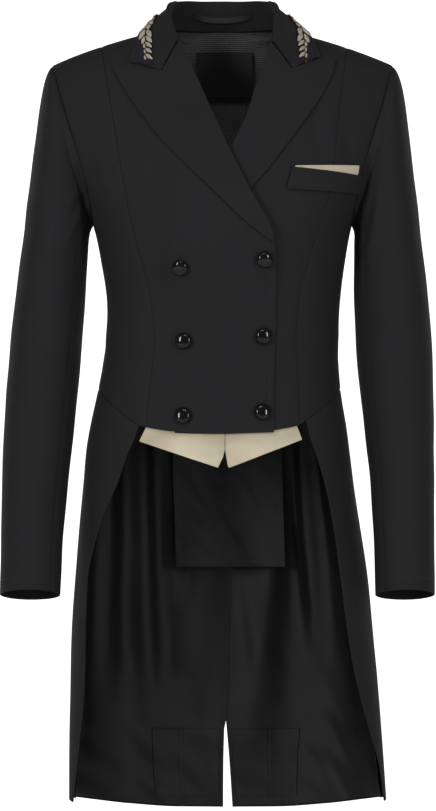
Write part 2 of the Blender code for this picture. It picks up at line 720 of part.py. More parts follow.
def collar_point(station, share):
    """A point of the collar, by a station number that is negative on the right, and a share across."""
    place = station + COLLAR_END
    across = [along([line[k] for line in COLLAR_LINES], place) for k in range(len(COLLAR_LINES[0]))]
    return along(across, share * (len(across) - 1))


def collar_face(across, up):
    """The whole collar, across from its right end round the back to its left end."""
    return collar_point((across - 0.5) * 2 * COLLAR_END, up)


def make_collar():
    sheet("collar", 28, 7, with_normals(collar_face), SOFTSHELL, 1.4)

    def braid(across, up):
        station = (across - 0.5) * 2 * BRAID_HIGH[-1][0]
        share = between(read_line(BRAID_HIGH, abs(station)), read_line(BRAID_LOW, abs(station)), up)
        return collar_point(station, share)

    strip = with_normals(braid)

    def raised(across, up, deeper):
        return strip(across, up, deeper - 0.5 - THIN)
    sheet("collar_braid", 28, 2, raised, BRAID_CLOTH, THIN)

    def loop(across, up):
        station = between(-LOOP_REACH, LOOP_REACH, across)
        rise = between(LOOP_SAG, LOOP_RISE, (2 * across - 1) ** 2)
        return collar_point(station, rise + LOOP_WIDTH * (up - 0.5))

    ribbon = with_normals(loop)

    def hanger(across, up, deeper):
        stand_off = 0.5 + 2.5 * math.sin(math.pi * across) ** 2
        return ribbon(across, up, deeper - stand_off - THIN)
    sheet("hanger_loop", 10, 1, hanger, SATIN, THIN)


def make_lapels():
    """The lapels lie on the fronts, from the roll line out to the peak."""
    for side, word in WORDS.items():
        outer, gorge, notch = LAPEL_EDGE[side], GORGE[side], NOTCH[side]
        peak_z, peak = outer[-1]
        chord = (between(gorge[0], peak, NOTCH_SHARE), between(gorge[1], peak_z, NOTCH_SHARE))
        dip = (notch[0] - chord[0], notch[1] - 1.4 - chord[1])

        def place(across, up, deeper, side=side, outer=outer, gorge=gorge, peak_z=peak_z, dip=dip):
            roll_z = between(outer[0][0], gorge[1] - 1.4, up)
            edge_z = between(outer[0][0], peak_z, up)
            roll = read_curve(LAPEL_EDGES[side], roll_z) + 0.6
            bend = min(across / NOTCH_SHARE, (1.0 - across) / (1.0 - NOTCH_SHARE)) * up**4
            distance = between(roll, read_curve(outer, edge_z), across) + dip[0] * bend
            z = between(roll_z, edge_z, across) + dip[1] * bend
            stand_off = LIFT[side](distance, z) + LAPEL_OUT + 0.9 * smooth(-90, -50, z)
            return at(side, False, distance, z, stand_off - deeper)

        sheet(f"lapel_{word}", 10, 8, place, SOFTSHELL)


def patch(name, corners, out, columns, rows, colour, thickness):
    """A flat piece on the left front between four corners: top inner, top outer, low inner, low outer."""
    def place(across, up, deeper):
        (d0, z0), (d1, z1), (d2, z2), (d3, z3) = corners
        distance = between(between(d2, d3, across), between(d0, d1, across), up)
        z = between(between(z2, z3, across), between(z0, z1, across), up)
        return at(LEFT, False, distance, z, out - deeper)
    sheet(name, columns, rows, place, colour, thickness)


def make_trim():
    patch("pocket_insert", INSERT, 0.8 + THIN, 7, 1, CREAM, THIN)
    patch("breast_welt", WELT, 0.8 + THIN + 0.4 + CLOTH, 7, 2, SOFTSHELL, CLOTH)

    def label(across, up, deeper):
        x = between(LABEL.right, LABEL.left, across)
        top = at(LEFT, True, x, LABEL.top, NECK_LINING - THIN - 3.0 - deeper)
        low = at(LEFT, True, x, LABEL.low, NECK_LINING - THIN - 5.0 - deeper)
        return between(low, top, up)
    sheet("neck_label", 4, 2, label, LABEL_CLOTH, 0.8)


def make_waistcoat():
    """Two satin points that show below the front hem, behind it and the edge of the lower front."""
    for side, word in WORDS.items():
        line = WAISTCOAT[side]
        inner = [(k / 8.0, line[k][0]) for k in range(3)] + [(1.0, line[3][0])]

        def place(across, up, deeper, side=side, line=line, inner=inner):
            start = read_line(inner, across)
            low = read_line(line, start)
            z = between(low, WAISTCOAT_TOP, up)
            distance = start - WAISTCOAT_SLANT * (z - low) * smooth(0.3, 1.0, across)
            return at(side, False, distance, z, WAISTCOAT_OUT - deeper)
        sheet(f"waistcoat_point_{word}", 8, 4, place, CREAM, THIN)


def make_back_lining():
    """The mesh lining inside the upper back, up to the neck seam and the shoulders."""
    neck = [(0.0, 19.7), (14.0, 19.9), (24.0, 20.15), (34.0, 20.45), (44.0, 20.7), (60.0, 21.6),
            (66.0, 22.6), (210.0, 22.7)]

    @remember
    def column(across):
        share = 2.0 * across - 1.0
        top = 22.0
        for _ in range(20):
            reach = angle_of(armhole_distance(True, top) - 7.0, top)
            top = between(top, read_line(neck, abs(distance_of(share * reach, top))), 0.5)
        return share, top

    def place(across, up, deeper):
        share, top = column(across)
        v = between(BACK_LINING_LOW, top, spread(up))
        reach = angle_of(armhole_distance(True, v) - 7.0, v)
        return on_body(LEFT, True, share * reach, v, NECK_LINING - deeper)
    sheet("back_neck_lining", 18, 9, place, MESH, THIN)


def make_buttons():
    """Domed shank buttons on the overlapping front."""
    for number, (distance, z, seat) in enumerate(BUTTONS, 1):
        shape = bmesh.new()
        ring = [shape.verts.new((radius * MM, 0.0, rise * MM)) for radius, rise in BUTTON_PROFILE]
        edges = [shape.edges.new(pair) for pair in zip(ring, ring[1:])]
        bmesh.ops.spin(shape, geom=ring + edges, cent=(0, 0, 0), axis=(0, 0, 1), angle=2 * math.pi,
                       steps=12, use_merge=True)
        bmesh.ops.remove_doubles(shape, verts=shape.verts[:], dist=1e-6)
        button = finish(f"button_{number}", shape, GLOSS)
        v = find_section(False, distance, z)
        angle = angle_of(distance, v)
        normal = outward(RIGHT, False, angle, v)
        button.location = on_body(RIGHT, False, angle, v, over_lift(distance, z) + seat) * MM
        button.rotation_euler = normal.to_track_quat("Z", "Y").to_euler()


def main():
    for old in list(bpy.data.objects):
        bpy.data.objects.remove(old)
    root = bpy.data.objects.new("coat", None)
    bpy.context.scene.collection.objects.link(root)
    make_fronts()
    make_back()
    make_tails()
    make_flap()
    make_sleeves()
    make_collar()
    make_lapels()
    make_trim()
    make_waistcoat()
    make_back_lining()
    make_buttons()


main()
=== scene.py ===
"""A women's black dressage tailcoat: cloth, satin, braid, stitches and buttons over its solids."""
import math
from collections import namedtuple

import bmesh
import bpy
import numpy as np
from mathutils import Matrix, Vector


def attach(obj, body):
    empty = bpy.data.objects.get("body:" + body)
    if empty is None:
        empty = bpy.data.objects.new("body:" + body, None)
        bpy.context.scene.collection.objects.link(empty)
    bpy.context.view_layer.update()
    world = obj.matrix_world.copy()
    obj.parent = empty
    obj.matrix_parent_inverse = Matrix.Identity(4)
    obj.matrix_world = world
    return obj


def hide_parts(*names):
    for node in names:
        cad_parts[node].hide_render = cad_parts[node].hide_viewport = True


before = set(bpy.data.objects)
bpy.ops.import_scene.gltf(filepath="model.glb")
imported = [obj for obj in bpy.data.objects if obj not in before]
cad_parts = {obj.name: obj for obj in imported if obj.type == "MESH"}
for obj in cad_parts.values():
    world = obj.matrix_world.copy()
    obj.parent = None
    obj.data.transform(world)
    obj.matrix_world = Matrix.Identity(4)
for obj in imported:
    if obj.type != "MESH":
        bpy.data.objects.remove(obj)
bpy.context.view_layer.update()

# All tables are in millimetres
MM = 0.001
CLOTH = 1.6
SLEEVE_CLOTH = 1.9
COLLAR_CLOTH = 1.4
LABEL_CLOTH = 0.8
THIN = 1.0
SEAM = 0.04
WAIST_SEAM = 0.08
LINING = -3.1
NECK_LINING = -6.2
OVERLAP = 2.6
CHEST_OVERLAP = 6.6
ROUND = 2.2
SHARP = 50
STITCH_PITCH = 3.2
STITCH_LENGTH = 2.3
STITCH_WIDTH = 0.42

RIGHT = -1
LEFT = 1
WORDS = {RIGHT: "right", LEFT: "left"}



def table(kind, *rows):
    return [kind(*row) for row in rows]


# The coat's sections, from the hem up to the shoulder seams
Section = namedtuple("Section", "level slope rise half front back side lean")
BODY = table(
    Section,
    (-930, 0.00, 0, 188.6, -74, 123, 8, 6.8),
    (-870, 0.00, 0, 186.5, -84, 123, 8, 5.0),
    (-800, 0.00, 0, 183.5, -94, 122, 8, 3.0),
    (-725, 0.00, 0, 179.5, -103, 120, 8, 0.5),
    (-650, 0.00, 0, 174.0, -111, 118, 8, -1.0),
    (-580, 0.00, 0, 166.0, -116, 114, 8, -3.0),
    (-530, 0.00, 0, 160.0, -117, 109, 7, -4.5),
    (-490, 0.00, 0, 155.5, -114, 102, 6, -5.5),
    (-460, 0.00, 0, 151.0, -110, 94, 6, -5.0),
    (-425, 0.00, 0, 144.5, -104, 84, 6, -4.0),
    (-390, 0.00, 0, 139.5, -99, 78, 6, -2.2),
    (-350, 0.00, 0, 137.0, -98, 76, 6, 0.0),
    (-310, 0.00, 0, 138.0, -104, 80, 6, 1.2),
    (-270, 0.00, 0, 143.5, -116, 88, 6, 0.8),
    (-225, 0.00, 0, 152.5, -125, 95, 6, 0.0),
    (-190, 0.00, 0, 167.0, -122, 97, 5, 0.0),
    (-155, 0.35, 0, 182.0, -113, 95, 4, 0.0),
    (-118, 0.60, 4, 195.0, -99, 90, 4, 0.0),
    (-82, 0.80, 10, 207.0, -83, 83, 4, 0.0),
    (-48, 0.92, 20, 216.0, -67, 74, 4, 0.0),
    (-24, 1.00, 35, 220.0, -53, 61, 4, 0.0),
    (-6, 1.00, 26, 222.0, -36, 44, 4, 0.0),
    (4, 1.00, 12, 223.0, -17, 25, 4, 0.0),
    (8, 1.00, 0, 224.0, 4, 4, 4, 0.0),
)
TOP = len(BODY) - 1
UNDERARM = 14
HEM_SPAN = (0.0, 3.0)
TAIL_WAIST_SPAN = (6.0, 12.0)
BACK_WAIST_SPAN = (6.0, 14.0)
NECK_START = 22.0
BACK_WAIST_SHARE = 0.38
NECK_SIDE = 66.0
SHOULDER_SLOPE = 0.19
SHOULDER_CURVE = 0.00091
RISE_REACH = 95.0

# Lines on the coat: a height, and a distance from the centre towards the panel's own side
ARMHOLE = [(-225, 152.5), (-205, 155.0), (-184, 159.0), (-160, 164.5), (-127, 173.5), (-80, 188.0),
           (-55, 195.0), (-36, 201.0)]
FRONT_SEAM = {
    RIGHT: [(-470, 84.0), (-447, 83.0), (-407, 80.3), (-366, 78.7), (-334, 81.7), (-280, 92.0),
            (-256, 98.7), (-222, 106.7), (-171, 116.0), (-85, 130.3), (-11, 142.9)],
    LEFT: [(-470, 96.0), (-445, 94.0), (-383, 88.8), (-354, 85.5), (-310, 88.3), (-283, 95.1),
           (-256, 103.2), (-198, 122.0), (-150, 129.7), (-90, 136.5), (-11, 147.0)],
}
BACK_SEAM = [(-930, 84.5), (-700, 78.0), (-500, 68.0), (-448, 62.0), (-363, 60.0), (-307, 70.0),
             (-250, 88.0), (-190, 108.0), (-134, 122.0), (-87, 132.0), (-12, 144.0)]
OVER_EDGE = [(-470, -64.0), (-350, -60.5), (-271, -59.0), (-240, -56.2), (-187, -29.3), (-139, -5.8),
             (-88, 15.7), (-63, 26.0), (-42, 36.6), (-21, 44.6), (-10, 49.5), (4, 61.0), (8, 66.0)]
UNDER_EDGE = [(-470, -50.0), (-300, -46.0), (-246, -38.0), (-187, -13.0), (-139, 9.6), (-95, 29.5),
              (-66, 38.0), (-43, 46.5), (-18, 53.7), (4, 62.0), (8, 66.0)]
FRONT_EDGE = {RIGHT: OVER_EDGE, LEFT: UNDER_EDGE}
BACK_NECK = [(20, 0.0), (20.06, 14.0), (20.24, 26.0), (20.67, 38.0), (21, 44.0), (22, 60.0), (23, 66.0)]
NECK_LINE = [(distance, number) for number, distance in BACK_NECK]
VENT = [(-930, 5.8), (-868, 3.6), (-835, 1.8), (-800, 0.0), (15, 0.0)]
VENT_LAP = [(-835, 0.0), (-812, 3.5), (-762, 8.1), (-695, 11.8), (-633, 14.3), (-400, 20.0)]
TAIL_EDGE = {
    RIGHT: [(-925, 186.0), (-800, 168.0), (-733, 161.5), (-685, 160.0), (-634, 156.6), (-602, 148.4),
            (-569, 137.7), (-528, 118.6), (-493, 105.0), (-470, 95.0), (-450, 90.0)],
    LEFT: [(-925, 187.5), (-861, 180.5), (-814, 168.7), (-748, 153.5), (-684, 144.2), (-627, 138.0),
           (-581, 133.0), (-537, 126.0), (-486, 112.3), (-470, 106.0), (-450, 101.0)],
}
FRONT_HEM = [(-66, -467), (0, -468.5), (50, -466), (84, -461), (93, -458.5), (103, -452), (118, -441),
             (131, -430), (141, -417)]
BACK_WAIST = [(0, -400), (60, -402), (110, -409), (141, -417)]
TAIL_HEM = [(0, -924), (60, -923), (120, -917), (165, -908), (190, -900)]

# Lapels and collar
LAPEL_EDGE = {
    RIGHT: [(-246, -55.0), (-241, -46.1), (-194, 7.6), (-136, 65.0), (-75, 109.6), (-41.6, 127.6)],
    LEFT: [(-234, -20.0), (-187, 32.4), (-117, 86.9), (-75, 114.9), (-45, 128.7), (-31, 131.4)],
}
GORGE = {RIGHT: (52.0, -9.6), LEFT: (58.5, -11.6)}
NOTCH = {RIGHT: (71.4, -47.0), LEFT: (80.7, -43.8)}
NOTCH_SHARE = 0.30
GORGE_GAP = 0.4
LAPEL_OUT = CLOTH + 1.2
Station = namedtuple("Station", "neck lift lean edge_distance edge_section bulge")
COLLAR_BACK = table(
    Station,
    (20.0, 34.5, 9.5, 0.0, 19.55, 1.5),
    (20.29, 34.2, 9.0, 36.0, 19.75, 1.5),
    (21.2, 33.8, 8.5, 62.0, 20.60, 1.5),
    (22.2, 32.8, 8.0, 83.0, 21.80, 1.0),
    (23.0, 31.6, 8.0, 95.0, 23.00, 0.5),
)
CollarFront = namedtuple("CollarFront", "neck lift lean edge_distance edge_z bulge")
COLLAR_FRONT = {
    RIGHT: table(
        CollarFront,
        (22.35, 24.0, 3.0, 99.0, -4.0, 1.5),
        (21.75, 14.0, 0.0, 103.0, -18.3, 3.0),
    ),
    LEFT: table(
        CollarFront,
        (22.35, 24.0, 3.0, 104.0, -6.0, 1.5),
        (21.75, 14.0, 0.0, 109.0, -18.0, 3.0),
    ),
}
COLLAR_TIP = {RIGHT: (107.8, -36.8), LEFT: (113.7, -30.7)}
COLLAR_OUT = CLOTH + 1.8
GROUND_LIFT = 0.5
LEAF_LIFT = 1.5
LEAF_SIZE = (0.53, 0.185)
HANGER_REACH = 1.55
MESH_PITCH = 2.4
LEAF_PITCH = 4.6
LEAF_STRETCH = 0.36
MID_SHARE = 0.36
BRAID_HIGH = [(0.0, 0.76), (4.0, 0.76), (5.0, 0.755), (6.0, 0.785), (6.95, 0.865)]
BRAID_LOW = [(0.0, 0.89), (4.0, 0.89), (5.0, 0.885), (6.0, 0.905), (6.95, 0.935)]
GROUND_MORE = [(0.0, 0.01), (4.0, 0.01), (6.0, 0.02), (6.95, 0.03)]

# A ring of the sleeve, from the head to the cuff, for either side
Ring = namedtuple("Ring", "outer_z inner_z right_outer right_inner left_outer left_inner y half tilt")
SLEEVE = table(
    Ring,
    (-42, -226.5, 205.6, 153.9, 206.0, 153.6, 4, 51.0, 0.00),
    (-56, -228.0, 210.6, 154.7, 211.2, 154.2, 4, 54.0, 0.00),
    (-80, -229.5, 215.2, 155.4, 215.8, 154.8, 4, 57.0, 0.00),
    (-112, -231.0, 219.6, 156.0, 219.8, 155.2, 4, 59.0, 0.00),
    (-150, -233.0, 224.6, 156.6, 224.2, 155.5, 4, 60.0, 0.00),
    (-192, -236.5, 230.0, 157.2, 229.4, 155.8, 4, 60.0, 0.00),
    (-235, -246.0, 235.0, 158.4, 234.2, 155.4, 4, 59.0, 0.00),
    (-290, -293.0, 242.4, 161.0, 241.0, 155.0, 5, 57.0, 0.00),
    (-345, -345.0, 249.0, 164.6, 246.4, 156.4, 6, 54.5, 0.00),
    (-400, -400.0, 253.6, 168.8, 248.6, 160.0, 2, 51.5, 0.06),
    (-465, -465.0, 257.6, 175.0, 249.0, 167.4, -6, 48.0, 0.13),
    (-530, -530.0, 259.2, 181.6, 248.6, 173.8, -17, 45.0, 0.18),
    (-595, -595.0, 259.4, 187.0, 248.0, 177.2, -29, 43.0, 0.20),
    (-657, -657.0, 260.0, 189.4, 247.8, 178.6, -41, 42.0, 0.20),
)
FRONT_SLEEVE_SEAM = math.radians(136)
BACK_SLEEVE_SEAM = math.radians(-112)

# Folds of the tail lining, by height and degrees round from the centre back
Fold = namedtuple("Fold", "top_z top_turn low_z low_turn width depth")
FOLDS = {
    RIGHT: table(
        Fold,
        (-430, 22, -700, 16, 5.0, 6.0),
        (-430, 37, -820, 28, 7.0, 12.0),
        (-450, 58, -780, 50, 9.0, 9.0),
        (-590, 4, -830, 19, 5.0, 6.0),
        (-600, 1, -760, 9, 3.0, 2.2),
        (-440, 76, -700, 72, 5.0, 5.0),
        (-560, 80, -850, 70, 6.0, 5.0),
        (-440, 94, -740, 88, 9.0, 6.0),
    ),
    LEFT: table(
        Fold,
        (-520, 12, -740, 8, 5.0, 5.0),
        (-430, 28, -850, 9, 7.0, 12.0),
        (-430, 41, -740, 37, 6.0, 8.0),
        (-430, 55, -660, 58, 4.5, 5.0),
        (-430, 67, -680, 70, 4.0, 4.4),
        (-450, 78, -820, 66, 8.0, 7.0),
        (-440, 95, -740, 86, 9.0, 6.0),
    ),
}
LINING_SHARES = (0.0, 0.965)
LINING_COLUMNS = 22
POCKET_COLUMNS = 6
HEM_FOLD = 3.0
POCKET_GAP = 0.4
POCKET_SEAMS = (0.485, 0.555)
POCKET_ROWS = (0.02, 0.147)
LINING_TOP = 3.0

# Trim, by distance and height
TRIM_OUT = 0.8
BUTTONS = [(-45.6, -267.2), (-46.6, -356.1), (-49.7, -444.0), (48.1, -276.2), (43.6, -361.8),
           (40.3, -448.1)]
WELT = ((79.6, -162.2), (159.0, -168.2), (72.6, -187.9), (157.2, -189.7))
INSERT = ((83.2, -160.4), (158.0, -157.2), (82.0, -168.0), (155.6, -174.0))
WAISTCOAT = {
    RIGHT: [(-7.9, -487.0), (-5.9, -495.0), (0.1, -507.0), (91.7, -477.0)],
    LEFT: [(8.5, -487.0), (11.4, -505.4), (13.1, -507.0), (98.9, -475.0)],
}
WAISTCOAT_TOP = -438.0
WAISTCOAT_SLANT = 0.42
WAISTCOAT_OUT = -(CLOTH + 0.7)
Label = namedtuple("Label", "right left top low")
LABEL = Label(-30.0, 37.5, -10.0, -64.0)
BACK_LINING_LOW = 14.3
BACK_LINING_TOP = [(0.0, 20.02), (14.0, 20.08), (26.0, 20.26), (38.0, 20.69), (44.0, 21.02),
                   (60.0, 21.85), (66.0, 22.7), (210.0, 22.7)]
BACK_LINING_OUT = -2.6
BUTTON_PROFILE = [(0.0, 0.0), (2.6, 0.0), (2.9, 0.9), (3.0, 1.9), (5.6, 2.1), (8.3, 2.4), (9.2, 2.9),
                  (9.5, 3.7), (9.35, 4.6), (8.8, 5.6), (7.8, 6.5), (6.4, 7.2), (4.6, 7.7), (2.4, 8.0),
                  (0.0, 8.1)]
FLAP_GAP = 0.45
FLAP_LEFT = 77.0
FLAP_RIGHT = 54.5
FLAP_TOP = -404.0
FLAP_LOW = -630.0
# The flap's creases: their slant, start, width and depth
FLAP_CREASES = ((-0.55, 30.0, 9.0, 0.8), (0.62, -46.0, 10.0, 0.6), (-0.35, 66.0, 7.0, 0.5),
                (0.3, -8.0, 6.0, 0.4))

# A soft crease in cloth: its middle, its length, width and depth, and its turn in degrees from upright
Crease = namedtuple("Crease", "across z length width depth turn")
FRONT_CREASES = {
    RIGHT: table(
        Crease,
        (150, -150, 34, 7, -1.5, 14),
        (140, -168, 40, 8, 1.2, 16),
        (118, -352, 12, 34, 0.6, 0),
        (112, -372, 7, 30, -0.7, -8),
        (60, -405, 8, 46, 0.5, 6),
        (10, -300, 60, 30, -0.5, 20),
    ),
    LEFT: table(
        Crease,
        (108, -108, 40, 9, -1.9, -6),
        (124, -108, 36, 8, 1.4, -4),
        (146, -122, 30, 7, -1.5, -14),
        (116, -352, 11, 32, 0.6, 0),
        (110, -376, 7, 28, -0.6, 8),
    ),
}
# The same on a sleeve, its middle by degrees round from the outer side through the front
SLEEVE_CREASES = {
    RIGHT: table(
        Crease,
        (128, -196, 38, 5, -2.8, 20),
        (116, -190, 38, 6, 2.2, 24),
        (140, -226, 32, 5, -2.2, 30),
        (104, -214, 32, 6, -1.7, 12),
        (120, -342, 9, 24, -1.2, -24),
        (110, -366, 8, 28, 1.0, -18),
        (124, -392, 8, 24, -0.9, -12),
        (90, -560, 60, 14, 0.8, 3),
    ),
    LEFT: table(
        Crease,
        (126, -218, 38, 5, -2.8, -24),
        (114, -214, 38, 6, 2.1, -20),
        (138, -246, 32, 5, -2.1, -30),
        (102, -232, 34, 7, -1.6, -14),
        (118, -350, 9, 24, -1.2, 20),
        (108, -374, 8, 26, 1.0, 14),
        (122, -402, 8, 24, -0.8, 10),
        (92, -560, 60, 14, 0.8, -3),
    ),
}


def between(a, b, t):
    return a + (b - a) * t


def smooth(low, high, value):
    t = np.clip((value - low) / (high - low), 0.0, 1.0)
    return t * t * (3.0 - 2.0 * t)


def read_line(points, key):
    """The second column of a short table at a value of its first, on straight lines."""
    keys, values = zip(*points)
    return np.interp(key, keys, values)


def read_curve(points, key):
    """The second column of a short table at a value of its first, on a curve without overshoot."""
    keys, values = np.array(points, float).T
    step = np.diff(keys)
    slope = np.diff(values) / step
    product, total = slope[:-1] * slope[1:], slope[:-1] + slope[1:]
    turning = product <= 0
    middle = np.where(turning, 0.0, 2 * product / np.where(turning, 1.0, total))
    tangent = np.concatenate([slope[:1], middle, slope[-1:]])
    k = np.clip(np.searchsorted(keys, key, side="right") - 1, 0, len(step) - 1)
    t = np.clip((key - keys[k]) / step[k], 0.0, 1.0)
    return (values[k] * (2 * t**3 - 3 * t**2 + 1) + tangent[k] * step[k] * (t**3 - 2 * t**2 + t)
            + values[k + 1] * (3 * t**2 - 2 * t**3) + tangent[k + 1] * step[k] * (t**3 - t**2))


def four_around(count, v):
    """The four rows that a smooth curve through count rows takes at index v, each with its weight."""
    v = np.clip(v, 0.0, count - 1.0)
    k = np.minimum(v.astype(int), count - 2)
    t = v - k
    leave, arrive = (t**3 - 2 * t**2 + t) * 0.5, (t**3 - t**2) * 0.5
    start, end = 2 * t**3 - 3 * t**2 + 1, 3 * t**2 - 2 * t**3
    return [(np.maximum(k - 1, 0), -leave), (k, start - arrive), (k + 1, end + leave),
            (np.minimum(k + 2, count - 1), arrive)]


def along(values, v):
    """A smooth curve through a row of numbers or points, read at fractional indices."""
    v = np.asarray(v, float)
    shape = v.shape + (1,) * (values.ndim - 1)
    return sum(weight.reshape(shape) * values[k] for k, weight in four_around(len(values), v))


COLUMNS = {name: np.array([getattr(row, name) for row in BODY], float) for name in Section._fields}


def section(column, v):
    return along(COLUMNS[column], v)


def height(distance, v, back):
    """The height of a section at a distance from the centre."""
    out = np.maximum(0.0, distance - NECK_SIDE)
    drop = SHOULDER_SLOPE * out + SHOULDER_CURVE * out * out
    near = np.maximum(0.0, 1.0 - (distance / RISE_REACH) ** 2)
    rise = np.where(back, section("rise", v) * near * near, 0.0)
    return section("level", v) - section("slope", v) * drop + rise


def angle_of(distance, v):
    share = np.minimum(1.0, np.abs(distance) / section("half", v))
    return np.copysign(np.arcsin(share ** (ROUND / 2)), distance)


def distance_of(angle, v):
    return np.copysign(section("half", v) * np.abs(np.sin(angle)) ** (2 / ROUND), angle)


def body(side, back, angle, v):
    """Points of the coat's outer surface."""
    angle, v = np.broadcast_arrays(angle, v)
    distance = np.abs(distance_of(angle, v))
    middle = np.where(back, section("back", v), section("front", v))
    y = between(section("side", v), middle, np.maximum(0.0, np.cos(angle)) ** (2 / ROUND))
    y = y + np.where(back, 0.5, -0.5) * smooth(TOP - 1, TOP, v)
    across = np.copysign(distance, angle) * side
    return np.stack([across + section("lean", v), y, height(distance, v, back)], -1)


def unit(vectors):
    return vectors / np.maximum(np.linalg.norm(vectors, axis=-1, keepdims=True), 1e-9)


def outward(side, back, angle, v):
    """Unit normals of the coat's outer surface, away from the wearer."""
    high, low = np.minimum(v + 0.1, TOP), np.maximum(v - 0.1, 0.0)
    front, rear = np.minimum(angle + 0.02, math.pi / 2), angle - 0.02
    across = body(side, back, front, v) - body(side, back, rear, v)
    up = body(side, back, angle, high) - body(side, back, angle, low)
    turned = np.where(np.logical_xor(side > 0, back), 1.0, -1.0)
    return unit(np.cross(across, up)) * turned[..., None]


def on_body(side, back, angle, v, out=0.0):
    angle, v, out = np.broadcast_arrays(angle, v, out)
    return body(side, back, angle, v) + outward(side, back, angle, v) * out[..., None]


def halve(low, high, below):
    """Closes in on the number at which below stops being true."""
    for _ in range(24):
        middle = (low + high) / 2
        under = below(middle)
        low, high = np.where(under, middle, low), np.where(under, high, middle)
    return (low + high) / 2


def find_section(back, distance, z):
    distance, z = np.broadcast_arrays(np.abs(distance), z)
    low, high = np.zeros(z.shape), np.full(z.shape, float(TOP))
    return halve(low, high, lambda v: height(distance, v, back) < z)


def at(side, back, distance, z, out=0.0):
    """Points on the coat by their distance from the centre and their height."""
    v = find_section(back, distance, z)
    return on_body(side, back, angle_of(distance, v), v, out)


def creased(creases, across, z, round_off=1.0):
    """How far soft creases lift or sink the cloth."""
    lift = np.zeros(np.broadcast(across, z).shape)
    for crease in creases:
        turn = math.radians(crease.turn)
        side, rise = (across - crease.across) * round_off, z - crease.z
        long = rise * math.cos(turn) + side * math.sin(turn)
        wide = side * math.cos(turn) - rise * math.sin(turn)
        lift = lift + crease.depth * np.exp(-(long / crease.length) ** 2 - (wide / crease.width) ** 2)
    return lift


def sway(points, size, seed=0.0):
    """A gentle unevenness over points, between about -1 and 1, with swells of a size in millimetres."""
    x, y, z = points[..., 0] / size, points[..., 1] / size, points[..., 2] / size
    return (np.sin(2.1 * x + 1.3 * z + seed) * np.cos(1.7 * z - 0.9 * y + 2 * seed)
            + 0.6 * np.sin(3.7 * z + 2.9 * x + 3 * seed) * np.cos(2.3 * x - 1.9 * y + seed)) / 1.6


# Finishes

def operation(kind, swapped=False):
    """A Math node as an operator of a field, also with its two values swapped."""
    def apply(self, *others):
        values = (*others, self) if swapped else (self, *others)
        return self.look.node("ShaderNodeMath", {"operation": kind}, dict(enumerate(values)))
    return apply


class Field:
    """A value that varies over the cloth. Sums and products of fields become Math nodes."""

    def __init__(self, look, socket):
        self.look = look
        self.socket = socket

    __add__, __radd__ = operation("ADD"), operation("ADD", True)
    __sub__, __rsub__ = operation("SUBTRACT"), operation("SUBTRACT", True)
    __mul__, __rmul__ = operation("MULTIPLY"), operation("MULTIPLY", True)
    __pow__ = operation("POWER")
    sine, size = operation("SINE"), operation("ABSOLUTE")

    def wave(self, pitch):
        return (self * (math.tau / pitch)).sine()


class Look:
    """A finish: a Principled BSDF with the fields that feed it."""

    def __init__(self, name, colour, roughness, **constants):
        self.material = bpy.data.materials.new(name)
        self.material.use_nodes = True
        self.tree = self.material.node_tree
        self.shader = self.tree.nodes["Principled BSDF"]
        self.shader.inputs["Base Color"].default_value = (*colour, 1.0)
        self.shader.inputs["Roughness"].default_value = roughness
        for words, value in constants.items():
            socket = words.replace("_", " ").title().replace("Ior", "IOR")
            self.shader.inputs[socket].default_value = value

    def node(self, kind, settings=None, values=None, output=0):
        made = self.tree.nodes.new(kind)
        for name, value in (settings or {}).items():
            setattr(made, name, value)
        for key, value in (values or {}).items():
            self.feed(made.inputs[key], value)
        return Field(self, made.outputs[output])

    def feed(self, socket, value):
        if isinstance(value, Field):
            self.tree.links.new(value.socket, socket)
        else:
            socket.default_value = value

    def place(self):
        """Object coordinates, in metres."""
        return self.node("ShaderNodeTexCoord", output="Object")

    def grain(self):
        """The cloth's own coordinates across and along its threads, in millimetres."""
        spot = self.node("ShaderNodeUVMap", {"uv_map": "grain"})
        parts = [self.node("ShaderNodeSeparateXYZ", None, {0: spot}, output) for output in (0, 1)]
        return [part * (1.0 / MM) for part in parts]

    def noise(self, scale, detail=2.0, stretch=(1, 1, 1)):
        spot = self.node("ShaderNodeMapping", None, {"Vector": self.place(), "Scale": stretch})
        values = {"Vector": spot, "Scale": scale, "Detail": detail}
        return self.node("ShaderNodeTexNoise", None, values, "Fac")

    def blend(self, share, low, high):
        mixed = {"Factor": share, 6: (*low, 1.0), 7: (*high, 1.0)}
        return self.node("ShaderNodeMix", {"data_type": "RGBA"}, mixed, 2)

    def colour(self, field):
        self.feed(self.shader.inputs["Base Color"], field)

    def roughness(self, field):
        self.feed(self.shader.inputs["Roughness"], field)

    def bump(self, field, depth):
        values = {"Height": field, "Distance": depth, "Strength": 1.0}
        self.feed(self.shader.inputs["Normal"], self.node("ShaderNodeBump", None, values))


